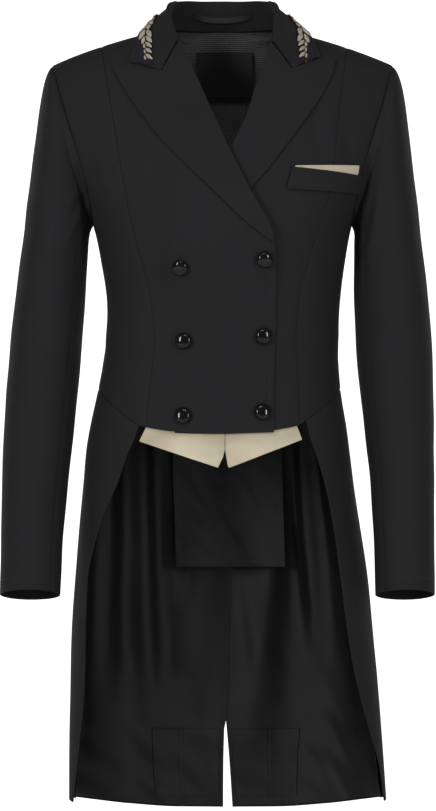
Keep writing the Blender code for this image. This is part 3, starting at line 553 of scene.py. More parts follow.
def make_looks():
    looks = {}

    cloth = looks["softshell"] = Look(
        "softshell cloth", (0.0135, 0.0135, 0.0147), 0.85, specular_ior_level=0.10)
    u, v = cloth.grain()
    knit = u.wave(0.9) * v.wave(1.1)
    mottled = cloth.noise(16.0, 3.0)
    speckle = cloth.noise(1400.0, 1.0)
    shade = mottled * 0.6 + speckle * 0.4
    cloth.colour(cloth.blend(shade, (0.0108, 0.0108, 0.0119), (0.0158, 0.0158, 0.0171)))
    cloth.roughness(0.78 + mottled * 0.14)
    cloth.bump(knit * 0.5 + speckle, 0.00006)

    satin = looks["black_satin"] = Look(
        "black satin lining", (0.0050, 0.0050, 0.0057), 0.36, specular_ior_level=0.13, anisotropic=0.3)
    u, v = satin.grain()
    threads = v.wave(0.35) * 0.5 + u.wave(0.8) * 0.2
    shade = satin.noise(9.0, 2.0, (1, 1, 0.35))
    satin.colour(satin.blend(shade, (0.0041, 0.0041, 0.0047), (0.0063, 0.0063, 0.0072)))
    satin.roughness(0.29 + shade * 0.12)
    satin.bump(threads, 0.00004)

    ribbon = looks["ribbon"] = Look("satin ribbon", (0.014, 0.014, 0.015), 0.34, specular_ior_level=0.25)
    ribbon.bump(ribbon.noise(600.0, 1.0), 0.00005)

    mesh = looks["mesh_lining"] = Look("mesh lining", (0.016, 0.016, 0.017), 0.5, specular_ior_level=0.5)
    u, v = mesh.grain()
    across, along_it = ((part * (math.pi / MESH_PITCH)).sine().size() for part in (u, v))
    net = (across * along_it) ** 0.8
    mesh.colour(mesh.blend(net, (0.058, 0.058, 0.062), (0.0016, 0.0016, 0.0018)))
    mesh.roughness(0.30 + net * 0.5)
    mesh.bump(1.0 - net, 0.0005)

    cream = looks["cream_satin"] = Look(
        "cream satin", (0.44, 0.37, 0.27), 0.42, specular_ior_level=0.4, anisotropic=0.3)
    u, v = cream.grain()
    threads = v.wave(0.4) * 0.5 + u.wave(0.7) * 0.3
    # Painted sheen and shade: the wide light and dark patches in the colour stand in for soft satin folds
    # catching and losing the light, scattered by noise.
    shade = cream.noise(26.0, 2.0, (0.6, 1, 1.2))
    cream.colour(cream.blend(shade, (0.29, 0.238, 0.155), (0.72, 0.637, 0.485)))
    cream.roughness(0.30 + shade * 0.14)
    cream.bump(threads + cream.noise(90.0, 2.0) * 3.0, 0.00012)

    braid = looks["braid"] = Look(
        "champagne braid", (0.40, 0.35, 0.27), 0.5, metallic=0.15, specular_ior_level=0.4)
    rise = braid.node("ShaderNodeSeparateXYZ", None, {0: braid.place()}, 2)
    strands = rise.wave(0.9 * MM)
    braid.colour(braid.blend(strands * 0.5 + 0.5, (0.22, 0.18, 0.125), (0.50, 0.455, 0.37)))
    braid.bump(strands, 0.00012)

    ground = looks["ground"] = Look("braid ground", (0.0085, 0.0065, 0.0115), 0.7, specular_ior_level=0.2)
    ground.bump(ground.noise(1800.0, 1.0), 0.00008)

    label = looks["label"] = Look("label cloth", (0.0035, 0.0027, 0.0040), 0.45, specular_ior_level=0.3)
    u, v = label.grain()
    ribs = v.wave(0.5) * 0.5 + u.wave(0.5) * 0.3
    label.colour(label.blend(label.noise(30.0), (0.0024, 0.0018, 0.0028), (0.0046, 0.0036, 0.0054)))
    label.bump(ribs, 0.00008)

    gloss = looks["button"] = Look(
        "button gloss", (0.0035, 0.0035, 0.0038), 0.05, specular_ior_level=0.22, coat_weight=0.08,
        coat_roughness=0.03)
    gloss.roughness(0.04 + gloss.noise(260.0, 2.0) * 0.05)
    gloss.bump(gloss.noise(90.0, 1.0), 0.00003)

    thread = looks["thread"] = Look("black thread", (0.012, 0.012, 0.013), 0.5, specular_ior_level=0.5)
    thread.bump(thread.noise(3000.0, 1.0), 0.00005)
    return looks


LOOKS = make_looks()
ENDINGS = {"softshell": "cloth", "black_satin": "satin", "cream_satin": "satin", "ribbon": "satin",
           "mesh_lining": "mesh", "ground": "ground", "label": "cloth"}


# Cloth

def grid_shares(columns, rows):
    return np.linspace(0.0, 1.0, columns + 1)[None, :], np.linspace(0.0, 1.0, rows + 1)[:, None]


def lengths(points, axis):
    """Distances run along a grid of points, from its first row or column."""
    steps = np.linalg.norm(np.diff(points, axis=axis), axis=-1)
    start = np.zeros_like(np.take(steps, [0], axis=axis))
    return np.cumsum(np.concatenate([start, steps], axis=axis), axis=axis)


def read_points(points, run, spot):
    """The point at a spot along a line, whose points stand at the distances in run."""
    return np.array([np.interp(spot, run, column) for column in points.T])


def hill(distance, width):
    """A soft hill of height one over its middle."""
    return np.exp(-(distance / width) ** 2)


def put(name, shape, material):
    """Puts a shape into the scene."""
    mesh = bpy.data.meshes.new(name)
    shape.to_mesh(mesh)
    shape.free()
    mesh.materials.append(material)
    made = bpy.data.objects.new(name, mesh)
    bpy.context.scene.collection.objects.link(made)
    return made


def finish(name, shape, look, node=None):
    """Makes a piece of a shape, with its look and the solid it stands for."""
    piece = put(name, shape, LOOKS[look].material)
    piece.data.shade_smooth()
    piece.data.set_sharp_from_angle(angle=math.radians(SHARP))
    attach(piece, "root")
    if node:
        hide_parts(node)
    return piece


def rounded(piece, width):
    """Softens a piece's rims, as folded or pressed cloth has them."""
    edge = piece.modifiers.new("rim", "BEVEL")
    edge.width = width * MM
    edge.segments = 2
    edge.limit_method = "ANGLE"
    edge.angle_limit = math.radians(SHARP)


def sheet(node, look, columns, rows, place, thickness=None, seams="", relief=None,
          rim=0.55):
    """A wall of cloth on a grid of places, rolled in along its seams: left, right, bottom, top or Tucked."""
    thickness = thickness or (CLOTH if look == "softshell" else THIN)
    across, up = grid_shares(columns, rows)
    outer, inner = place(across, up, 0.0), place(across, up, thickness)
    normal = unit(outer - inner)
    u, v = lengths(outer, 1), lengths(outer, 0)
    lift = relief(outer) if relief else np.zeros(u.shape)
    edges = {"l": u, "r": u[:, -1:] - u, "b": v, "t": v[-1:] - v}
    for letter in seams.lower():
        lift = lift - 0.45 * hill(edges[letter], 1.4) - 0.15 * hill(edges[letter], 5.0)
    if "T" in seams:
        lift = lift - 1.5 * hill(edges["t"], 1.6)
    outer, inner = outer + normal * lift[..., None], inner + normal * lift[..., None]

    shape = bmesh.new()
    bmesh.ops.create_grid(shape, x_segments=columns, y_segments=rows, size=0.5)
    near = list(shape.verts)
    copied = bmesh.ops.extrude_face_region(shape, geom=shape.faces[:], use_keep_orig=True)
    far = [item for item in copied["geom"] if isinstance(item, bmesh.types.BMVert)]
    grain = shape.loops.layers.uv.new("grain")
    seat = {}
    for vertices, points in ((near, outer), (far, inner)):
        for vertex in vertices:
            i, j = round((vertex.co.x + 0.5) * columns), round((vertex.co.y + 0.5) * rows)
            seat[vertex] = (u[j, i] * MM, v[j, i] * MM)
            vertex.co = points[j, i] * MM
    for face in shape.faces:
        for loop in face.loops:
            loop[grain].uv = seat[loop.vert]
    bmesh.ops.recalc_face_normals(shape, faces=shape.faces[:])
    if shape.calc_volume(signed=True) < 0:
        bmesh.ops.reverse_faces(shape, faces=shape.faces[:])
    piece = finish(f"{node}_{ENDINGS[look]}", shape, look, node)
    rounded(piece, rim)


def with_normals(face):
    """Gives a surface of two shares a depth, along normals worked out from it."""
    def place(across, up, deeper):
        step = 0.002
        a0, a1 = np.maximum(across - step, 0.0), np.minimum(across + step, 1.0)
        u0, u1 = np.maximum(up - step, 0.0), np.minimum(up + step, 1.0)
        normal = unit(np.cross(face(a1, up) - face(a0, up), face(across, u1) - face(across, u0)))
        return face(across, up) - normal * np.asarray(deeper)[..., None]
    return place


def stitches(name, runs):
    """Rows of thread. A run is a line of points on the cloth and a line of its normals, in millimetres."""
    shape = bmesh.new()
    size = Matrix.Diagonal((STITCH_LENGTH / 2, STITCH_WIDTH / 2, STITCH_WIDTH / 2, 1.0))
    for points, normals in runs:
        run = lengths(points[None], 1)[0]
        count = max(1, int(run[-1] / STITCH_PITCH))
        for spot in (np.arange(count) + 0.5) * run[-1] / count:
            here, start, end = (read_points(points, run, spot + step) for step in (0.0, -0.5, 0.5))
            up = Vector(read_points(normals, run, spot)).normalized()
            ahead = Vector(end - start).normalized()
            side = up.cross(ahead).normalized()
            turn = Matrix((ahead, side, up)).transposed().to_4x4()
            seat = Matrix.Translation(Vector(here + 0.12 * np.array(up)) * MM) @ Matrix.Scale(MM, 4)
            bmesh.ops.create_uvsphere(shape, u_segments=6, v_segments=4, radius=1.0,
                                      matrix=seat @ turn @ size)
    finish(name, shape, "thread")


def run_on(place, across, up, out=0.0):
    """A line of points and normals along a piece's outer face."""
    across, up = np.broadcast_arrays(np.asarray(across, float), np.asarray(up, float))
    face = place(across, up, -out)
    return face, unit(face - place(across, up, 1.0))


def run_inside(place, across, up):
    """The same along the inner face of a lining."""
    points, normals = run_on(place, across, up, -THIN)
    return points, -normals


# Bodice

def armhole_distance(back, v):
    distance = np.full(np.shape(v), 170.0)
    for _ in range(12):
        distance = read_curve(ARMHOLE, height(distance, v, back))
    return distance


def seam_angle(table, back, gap):
    """A boundary that follows a line of heights and distances, held back from it by gap."""
    def angle(v):
        distance = np.full(np.shape(v), 100.0)
        for _ in range(8):
            distance = read_curve(table, height(np.abs(distance), v, back))
        return angle_of(distance + gap, v)
    return angle


def side_angle(back):
    def angle(v):
        side_seam = math.pi / 2 - SEAM / section("half", v)
        arm = np.minimum(angle_of(armhole_distance(back, v) - SEAM, v), side_seam)
        return np.where(v <= UNDERARM, side_seam, arm)
    return angle


def centre_back_angle(v):
    return angle_of(SEAM + read_curve(VENT, section("level", v)), v)


def meet(angle, back, line, low, high, raised=0.0):
    """The section number at which a boundary crosses a line of distances and heights."""
    def below(v):
        distance = distance_of(angle(v), v)
        return height(np.abs(distance), v, back) < read_curve(line, distance) + raised
    return halve(low, high, below)


def spread(up):
    return 1.0 - (1.0 - up) ** 0.9


def bodice_place(side, back, inner, outer, hem, out=None):
    """Points of a panel of the bodice between two seams, from its lower line up to the shoulder."""
    def place(across, up, deeper):
        def column(v):
            return between(inner(v), outer(v), across)
        flat = np.zeros(across.shape)
        lowest = meet(column, back, hem, flat, flat + UNDERARM, WAIST_SEAM)
        v = between(lowest, float(TOP), spread(up))
        angle = column(v)
        extra = out(distance_of(angle, v), section("level", v)) if out else 0.0
        return on_body(side, back, angle, v, extra - deeper)
    return place


def over_lift(distance, z):
    """How far the overlapping front stands off the coat's surface."""
    chest = between(OVERLAP, CHEST_OVERLAP, smooth(-315, -265, z))
    return chest * (1.0 - smooth(48, 82, distance)) * (1.0 - smooth(-125, -75, z))


def button_dimples(distance, z):
    """The cloth draws in a little round each button's shank."""
    sink = np.zeros(np.broadcast(distance, z).shape)
    for spot, level in BUTTONS:
        off = (distance - spot) ** 2 + (z - level) ** 2
        sink = sink - 0.9 * np.exp(-off / 90.0) - 0.35 * np.exp(-off / 700.0)
    return sink


def front_out(side):
    def out(distance, z):
        lift = creased(FRONT_CREASES[side], distance, z)
        if side == RIGHT:
            lift = lift + over_lift(distance, z) + button_dimples(distance, z)
        return lift
    return out


def uneven(size, depth, seed=0.0):
    return lambda points: sway(points, size, seed) * depth


def make_fronts():
    for side, word in WORDS.items():
        seam = FRONT_SEAM[side]
        out = front_out(side)
        edge = seam_angle(FRONT_EDGE[side], False, 0.0)
        centre = bodice_place(side, False, edge, seam_angle(seam, False, -SEAM), FRONT_HEM, out)
        sheet(f"front_centre_{word}", "softshell", 44, 120, centre, seams="rt",
              relief=uneven(46, 0.18, 1.0 + side))
        flank = bodice_place(side, False, seam_angle(seam, False, SEAM), side_angle(False), FRONT_HEM, out)
        sheet(f"front_side_{word}", "softshell", 26, 120, flank, seams="lrbt",
              relief=uneven(40, 0.18, 3.0 + side))
        if side == RIGHT:
            level = np.linspace(0.02, 0.47, 160)
            stitches("front_edge_stitches", [run_on(centre, 0.045, level, -0.1)])


def back_centre_place(side):
    """Points of a back panel cut in one with its tail."""
    outer = seam_angle(BACK_SEAM, True, -SEAM)

    def place(across, up, deeper):
        def angle(v):
            return between(centre_back_angle(v), outer(v), across)
        flat = np.zeros(across.shape)
        top = flat + NECK_START
        for _ in range(20):
            top = between(top, read_curve(NECK_LINE, distance_of(angle(top), top)), 0.5)
        low = meet(angle, True, TAIL_HEM, *(flat + v for v in HEM_SPAN))
        waist = meet(angle, True, BACK_WAIST, *(flat + v for v in BACK_WAIST_SPAN))
        tail = between(low, waist, np.minimum(up / BACK_WAIST_SHARE, 1.0))
        above = np.clip((up - BACK_WAIST_SHARE) / (1.0 - BACK_WAIST_SHARE), 0.0, 1.0)
        v = np.where(up <= BACK_WAIST_SHARE, tail, between(waist, top, spread(above)))
        return on_body(side, True, angle(v), v, -deeper)
    return place


def make_back():
    for side, word in WORDS.items():
        sheet(f"back_centre_{word}", "softshell", 34, 190, back_centre_place(side),
              seams="lrt", relief=uneven(60, 0.30, 5.0 + side))
        seam = seam_angle(BACK_SEAM, True, SEAM)
        flank = bodice_place(side, True, seam, side_angle(True), BACK_WAIST)
        sheet(f"back_side_{word}", "softshell", 20, 120, flank, seams="lrbt",
              relief=uneven(45, 0.25, 7.0 + side))


# Tails

def tail_place(side, start, out=0.0, shares=(0.0, 1.0), rows=(0.0, 1.0), fold=None, hem=0.0, top=0.0):
    """Points of a tail: across runs from a seam at the back round the side to the open front edge."""
    def turn_at(share, v):
        edge = angle_of(read_curve(TAIL_EDGE[side], section("level", v)), v)
        return between(start(v), math.pi - edge, share)

    def meeting(share, span, back_line, front_line, raised):
        def below(v):
            turn = turn_at(share, v)
            distance = distance_of(np.minimum(turn, math.pi - turn), v)
            behind, before = read_curve(back_line, distance), read_curve(front_line, distance)
            return section("level", v) < np.where(turn <= math.pi / 2, behind, before) + raised
        return halve(*(np.full(share.shape, v) for v in span), below)

    def place(across, up, deeper):
        share = between(*shares, across)
        low = meeting(share, HEM_SPAN, TAIL_HEM, TAIL_HEM, hem)
        high = meeting(share, TAIL_WAIST_SPAN, BACK_WAIST, FRONT_HEM, -WAIST_SEAM - top)
        v = between(low, high, between(*rows, up))
        turn = turn_at(share, v)
        inward = fold(side, turn, section("level", v)) if fold else 0.0
        angle = np.minimum(np.minimum(turn, math.pi - turn), math.pi / 2 - 0.0005)
        return on_body(side, turn <= math.pi / 2, angle, v, out - inward - deeper)
    return place


def lining_start(side):
    """The right lining laps over the left one above the vent."""
    def start(v):
        level = section("level", v)
        edge = 1.2 + read_curve(VENT, level)
        if side == RIGHT:
            edge = edge - read_curve(VENT_LAP, level)
        return angle_of(edge, v)
    return start


def satin_fold(side, turn, z):
    """How far the lining's folds stand off the cloth towards the inside."""
    degrees = np.degrees(turn)
    depth = 0.0
    for fold in FOLDS[side]:
        share = np.clip((fold.top_z - z) / (fold.top_z - fold.low_z), 0.0, 1.0)
        middle = between(fold.top_turn, fold.low_turn, share)
        fade = 1.0 - smooth(fold.top_z - 70, fold.top_z + 5, z)
        fade = fade * smooth(fold.low_z - 60, fold.low_z + 110, z)
        depth = depth + fold.depth * fade * hill(degrees - middle, fold.width)
    if side == RIGHT:
        depth = depth + 1.4 * (1.0 - smooth(1.0, 6.0, degrees))
    return depth


def satin_swell(points):
    """Loose satin swells gently, more so round the tail weights near the hem."""
    low = 1.0 - smooth(-850, -760, points[..., 2])
    free = 1.0 - smooth(-450, -405, points[..., 2])
    long = points * np.array([1.0, 1.0, 0.4])
    swell = 0.4 * sway(points, 30.0, 2.0) + 1.5 * (sway(long, 36.0, 6.0) + 0.7)
    return -free * swell - low * (1.4 * sway(points, 24.0, 4.0) + 1.3)


def make_tails():
    for side, word in WORDS.items():
        outside = tail_place(side, seam_angle(BACK_SEAM, True, SEAM))
        sheet(f"tail_side_{word}", "softshell", 60, 90, outside, seams="lt",
              relief=uneven(70, 0.5, 9.0 + side))
        start = lining_start(side)
        folded = {"fold": satin_fold, "hem": HEM_FOLD, "top": LINING_TOP}
        lining = tail_place(side, start, LINING, LINING_SHARES, **folded)
        sheet(f"tail_lining_{word}", "black_satin", 150, 120, lining,
              relief=satin_swell, rim=0.3)
        reach = LINING_SHARES[1] / LINING_COLUMNS
        weight = tail_place(side, start, LINING - THIN - POCKET_GAP,
                            (reach * 0.2, reach * (POCKET_COLUMNS - 0.5)), POCKET_ROWS, **folded)

        def pocket(across, up, deeper):
            ridges = sum(hill(across - seam, 0.014) for seam in POCKET_SEAMS)
            return weight(across, up, deeper + 0.35 * ridges)
        sheet(f"tail_weight_{word}", "black_satin", 96, 30, pocket,
              rim=0.12, relief=lambda points: satin_swell(points) + 0.15 * sway(points, 9.0, 2.0))
        steps = np.linspace(0.02, 0.98, 90)
        rows = ((steps, 0.965), (0.975, steps), (sum(POCKET_SEAMS) / 2, steps))
        stitches(f"weight_stitches_{word}", [run_inside(pocket, *row) for row in rows])
        hem = np.linspace(0.01, 0.97, 220)
        stitches(f"lining_hem_stitches_{word}", [run_inside(lining, hem, 0.015)])


def make_flap():
    """The satin flap that hangs behind the front points."""
    def place(across, up, deeper):
        x = between(-FLAP_RIGHT, FLAP_LEFT, across) + 0.0 * up
        z = between(FLAP_LOW, FLAP_TOP, up) + 0.0 * across
        left, right = (at(side, True, np.abs(x), FLAP_TOP, LINING - THIN - FLAP_GAP)[..., 1]
                       for side in (LEFT, RIGHT))
        low = 84.0 - 0.0013 * x * x + 1.6 * np.sin(x / 17.0 + z / 90.0) * (1.0 - up)
        y = between(np.where(x >= 0, left, right), low, smooth(0.0, 1.0, 1.0 - up) * 0.9)
        for slant, start, wide, deep in FLAP_CREASES:
            y = y - deep * hill(x - slant * (z - FLAP_LOW) - start, wide)
        lean = section("lean", find_section(True, np.zeros(z.shape), z))
        return np.stack([x + lean, y - deeper, z], -1)

    sheet("seat_flap", "black_satin", 60, 90, place, rim=0.3,
          relief=uneven(16, 0.5, 4.0))
    steps = np.linspace(0.0, 1.0, 120)
    rows = [run_on(place, *row) for row in ((steps, 0.030), (0.035, steps * 0.6), (0.965, steps * 0.6))]
    inside = [(points - np.array([0, THIN, 0]), -normals) for points, normals in rows]
    stitches("flap_stitches", inside)


# Sleeves

def armhole_point(side, theta):
    """Points of the armhole's seam, by the angle round from the shoulder through the front."""
    last = np.array(float(TOP))
    top = height(armhole_distance(False, last), last, False)
    low = section("level", UNDERARM)
    z = between(low, top, (1.0 + np.cos(theta)) / 2)
    back = np.sin(theta) < 0
    distance = read_curve(ARMHOLE, z)
    v = np.clip(find_section(back, distance, z), float(UNDERARM), float(TOP))
    return body(side, back, angle_of(distance, v), v)


def sleeve_place(side, start, end):
    """Points of a part of the sleeve between two lengthwise seams, from the head down to the cuff."""
    prefix = WORDS[side]
    names = ("outer_z", "inner_z", prefix + "_outer", prefix + "_inner", "y", "half", "tilt")
    table = {name: np.array([getattr(row, name) for row in SLEEVE]) for name in names}

    def ring(k, theta):
        row = {name: values[k] for name, values in table.items()}
        turn = (1.0 + np.cos(theta)) / 2
        y = row["y"] - row["half"] * np.sin(theta)
        z = between(row["inner_z"], row["outer_z"], turn) - row["tilt"] * (y - row["y"])
        return np.stack([between(row[prefix + "_inner"], row[prefix + "_outer"], turn) * side, y, z], -1)

    def place(across, up, deeper):
        theta, v = np.broadcast_arrays(between(start, end, across), (1.0 - up) * len(SLEEVE))
        head = armhole_point(side, theta) + np.array([-0.9 * side, 0.0, 0.0])
        middle = (armhole_point(side, np.array(0.0)) + armhole_point(side, np.array(math.pi))) / 2
        point, centre = 0.0, 0.0
        for k, weight in four_around(len(SLEEVE) + 1, v):
            below = np.maximum(k - 1, 0)
            first = (k == 0)[..., None]
            here = np.where(first, head, ring(below, theta))
            core = (ring(below, 0.0 * theta) + ring(below, 0.0 * theta + math.pi)) / 2
            point = point + weight[..., None] * here
            centre = centre + weight[..., None] * np.where(first, middle, core)
        lift = creased(SLEEVE_CREASES[side], np.degrees(theta), point[..., 2], 0.8)
        return point + unit(centre - point) * (deeper - lift)[..., None]
    return place


def make_sleeves():
    gap = SEAM / 45.0
    for side, word in WORDS.items():
        upper = sleeve_place(side, BACK_SLEEVE_SEAM + gap, FRONT_SLEEVE_SEAM - gap)
        under = sleeve_place(side, FRONT_SLEEVE_SEAM + gap, 2 * math.pi + BACK_SLEEVE_SEAM - gap)
        sheet(f"sleeve_top_{word}", "softshell", 56, 130, upper, thickness=SLEEVE_CLOTH,
              seams="lrT", relief=uneven(38, 0.45, 11.0 + side))
        sheet(f"sleeve_under_{word}", "softshell", 28, 130, under, thickness=SLEEVE_CLOTH,
              seams="lrT", relief=uneven(38, 0.45, 13.0 + side))
        steps = np.linspace(0.0, 1.0, 120)
        stitches(f"cuff_stitches_{word}", [run_on(upper, steps, 0.022), run_on(under, steps, 0.022)])


# Collar and lapels

def neck_seam(side, v):
    v = np.array(float(v))
    if v <= TOP:
        return on_body(side, True, angle_of(read_curve(BACK_NECK, v), v), v, 1.0)
    front = 2 * TOP - v
    return on_body(side, False, seam_angle(FRONT_EDGE[side], False, 0.0)(front), front, 1.0)


def notched_line(side):
    """The collar's last line lies flat on the front, along the gorge from its roll to its tip."""
    roll, notch, tip = (np.array(points[side]) for points in (GORGE, NOTCH, COLLAR_TIP))
    return [at(side, False, distance, z, out) for (distance, z), out in (
        (roll - (0.4, 0.4), 1.0), (roll - (0.8, 0.0), 2.0), (roll - (0.4, 0.0), 2.9),
        (between(roll, notch, 0.12), COLLAR_OUT), (between(roll, notch, 0.75), COLLAR_OUT),
        (notch, COLLAR_OUT), (between(notch, tip, 0.25), COLLAR_OUT), (tip, COLLAR_OUT))]


def collar_line(side, station):
    """The collar's cross line at a station: stand, fold and fall, from the neck seam to the outer edge."""
    front = isinstance(station, CollarFront)
    seam = neck_seam(side, 2 * TOP - station.neck if front else station.neck)
    away = unit(np.array([seam[0], seam[1] - 8.0, 0.0]))
    fold = seam - away * station.lean + np.array([0.0, 0.0, station.lift])
    if front:
        edge = at(side, False, station.edge_distance, station.edge_z, COLLAR_OUT)
    else:
        v = np.array(station.edge_section)
        edge = on_body(side, True, angle_of(station.edge_distance, v), v, COLLAR_OUT)
    middle = between(fold, edge, MID_SHARE)
    lifted = unit(np.array([away[0], away[1], 1.0])) * station.bulge
    high = between(fold, middle, 0.5) + lifted * 0.7
    low = between(middle, edge, 0.5) + lifted * 0.6
    middle = middle + lifted
    room = min(2.4, station.lift * 0.3)
    down = np.array([0.0, 0.0, -room])
    turned = fold + away * 4.2 + unit(edge - fold) * room
    return [seam, fold - away * 1.4 + down, fold + away * 1.3, turned, high, middle, low, edge]


def collar_lines():
    """The lines of both halves, from the right tip round the back of the neck to the left tip."""
    right, left = ([collar_line(side, station) for station in COLLAR_BACK + COLLAR_FRONT[side]]
                   + [notched_line(side)] for side in (RIGHT, LEFT))
    return np.array(right[:0:-1] + left)


COLLAR_LINES = collar_lines()
COLLAR_END = len(COLLAR_LINES) // 2


def collar_point(station, share):
    """Points of the collar, by a station number that is negative on the right, and a share across."""
    station, share = np.broadcast_arrays(station, share)
    point = 0.0
    for i, weight in four_around(len(COLLAR_LINES), station + COLLAR_END):
        for j, part in four_around(COLLAR_LINES.shape[1], share * (COLLAR_LINES.shape[1] - 1)):
            point = point + (weight * part)[..., None] * COLLAR_LINES[i, j]
    return point


def make_collar():
    def face(across, up):
        return collar_point((across - 0.5) * 2 * COLLAR_END, up + 0.0 * across)
    sheet("collar", "softshell", 220, 44, with_normals(face), thickness=COLLAR_CLOTH,
          relief=uneven(30, 0.12, 2.0))

    def braid(more):
        def face(across, up):
            station = (across - 0.5) * 2 * BRAID_HIGH[-1][0]
            low = read_line(BRAID_LOW, np.abs(station)) + more * read_line(GROUND_MORE, np.abs(station))
            return collar_point(station, between(read_line(BRAID_HIGH, np.abs(station)), low, up))
        return with_normals(face)
    strip, ground = braid(0.0), braid(1.0)
    sheet("collar_braid", "ground", 200, 8,
          lambda across, up, deeper: ground(across, up, deeper - GROUND_LIFT - THIN),
          rim=0.2)
    make_leaves(strip)

    def loop(across, up):
        station = between(-HANGER_REACH, HANGER_REACH, across)
        rise = 0.078 - 0.015 * np.cos(math.pi * (across - 0.5))
        return collar_point(station, rise + 0.024 * (up - 0.5))
    ribbon = with_normals(loop)

    def hanger(across, up, deeper):
        stand_off = 0.5 + 2.5 * np.sin(math.pi * across) ** 2
        return ribbon(across, up, deeper - stand_off - THIN)
    sheet("hanger_loop", "ribbon", 60, 6, hanger, rim=0.3)


def make_leaves(strip):
    """The braid's raised leaves, in pairs that lie over the next like shingles."""
    shape = bmesh.new()
    centre = np.linspace(0.0, 1.0, 800)
    line = strip(centre, np.full(centre.shape, 0.5), -LEAF_LIFT)
    run = lengths(line[None], 1)[0]
    for way in (-1, 1):
        spot = 4.0
        while spot < run[-1] / 2 - 2.0:
            across = np.array(np.interp(run[-1] / 2 + way * spot, run, centre))
            low, high = (strip(across, np.array(edge), -LEAF_LIFT) for edge in (0.0, 1.0))
            wide = np.linalg.norm(high - low)
            here = (low + high) / 2
            down = unit(strip(across + way * 0.004, np.array(0.5), -LEAF_LIFT) - here)
            out = unit(here - strip(across, np.array(0.5), 0.5))
            for lean in (-1, 1):
                beside = np.cross(out, down) * lean
                leaf = unit(down * 0.93 + beside * 0.36)
                make_leaf(shape, here + leaf * wide * 0.22 + beside * wide * 0.16, leaf, out, wide)
            spot += LEAF_PITCH + wide * LEAF_STRETCH
    finish("collar_leaves", shape, "braid", "collar_braid")


def make_leaf(shape, middle, ahead, out, wide):
    """One padded leaf, its point ahead and its root under the pair before."""
    made = bmesh.ops.create_uvsphere(shape, u_segments=10, v_segments=6, radius=1.0)
    for vertex in made["verts"]:
        vertex.co.y *= 1.0 - 0.55 * abs(vertex.co.x) ** 1.5
        vertex.co.z -= 0.45 * vertex.co.x**2
    up = unit(out + 0.12 * ahead)
    turn = Matrix((Vector(ahead), Vector(np.cross(up, ahead)), Vector(up))).transposed().to_4x4()
    size = Matrix.Diagonal((wide * LEAF_SIZE[0], wide * LEAF_SIZE[1], 1.3, 1.0))
    seat = Matrix.Translation(Vector(middle) * MM)
    bmesh.ops.transform(shape, matrix=seat @ Matrix.Scale(MM, 4) @ turn @ size, verts=made["verts"])


def make_lapels():
    for side, word in WORDS.items():
        outer, gorge, notch = LAPEL_EDGE[side], GORGE[side], NOTCH[side]
        peak_z, peak = outer[-1]
        chord = (between(gorge[0], peak, NOTCH_SHARE), between(gorge[1], peak_z, NOTCH_SHARE))
        dip = (notch[0] - chord[0], notch[1] - GORGE_GAP - chord[1])

        def place(across, up, deeper):
            roll_z = between(outer[0][0], gorge[1] - GORGE_GAP, up)
            edge_z = between(outer[0][0], peak_z, up)
            roll = read_curve(FRONT_EDGE[side], roll_z) + 0.6
            bend = np.minimum(across / NOTCH_SHARE, (1.0 - across) / (1.0 - NOTCH_SHARE)) * up**4
            distance = between(roll, read_curve(outer, edge_z), across) + dip[0] * bend
            z = between(roll_z, edge_z, across) + dip[1] * bend
            lift = over_lift(distance, z) if side == RIGHT else 0.0
            return at(side, False, distance, z, lift + LAPEL_OUT - deeper)

        sheet(f"lapel_{word}", "softshell", 60, 100, place,
              relief=uneven(50, 0.15, 15.0 + side))


# Trim

def patch_place(corners, out):
    def place(across, up, deeper):
        (d0, z0), (d1, z1), (d2, z2), (d3, z3) = corners
        distance = between(between(d2, d3, across), between(d0, d1, across), up)
        z = between(between(z2, z3, across), between(z0, z1, across), up)
        return at(LEFT, False, distance, z, out - deeper)
    return place


def make_trim():
    insert = patch_place(INSERT, TRIM_OUT + THIN)
    sheet("pocket_insert", "cream_satin", 60, 16, insert,
          rim=0.35, relief=uneven(7.0, 0.35, 1.0))
    welt = patch_place(WELT, TRIM_OUT + THIN + 0.4 + CLOTH)
    sheet("breast_welt", "softshell", 60, 24, welt, rim=0.6)
    steps = np.linspace(0.04, 0.96, 30)
    stitches("welt_stitches", [run_on(welt, 0.018, steps), run_on(welt, 0.982, steps)])

    def label(across, up, deeper):
        x = between(LABEL.right, LABEL.left, across)
        top = at(LEFT, True, x, LABEL.top, NECK_LINING - THIN - 3.0 - deeper)
        low = at(LEFT, True, x, LABEL.low, NECK_LINING - THIN - 5.0 - deeper)
        return between(low, top, up[..., None])
    sheet("neck_label", "label", 40, 30, label, thickness=LABEL_CLOTH, rim=0.25)


def waistcoat_relief(points):
    """The points sink softly from the plane that their edges lie in."""
    return 0.30 * sway(points, 16.0, 3.0) - 1.3 * (0.5 + 0.5 * sway(points, 23.0, 5.0))


def make_waistcoat():
    for side, word in WORDS.items():
        line = WAISTCOAT[side]
        inner = [(k / 8.0, line[k][0]) for k in range(3)] + [(1.0, line[3][0])]

        def place(across, up, deeper):
            start = read_line(inner, across)
            low = read_line(line, start)
            z = between(low, WAISTCOAT_TOP, up)
            distance = start - WAISTCOAT_SLANT * (z - low) * smooth(0.3, 1.0, across)
            return at(side, False, distance, z, WAISTCOAT_OUT - deeper)
        sheet(f"waistcoat_point_{word}", "cream_satin", 96, 40, place,
              rim=0.4, relief=waistcoat_relief)


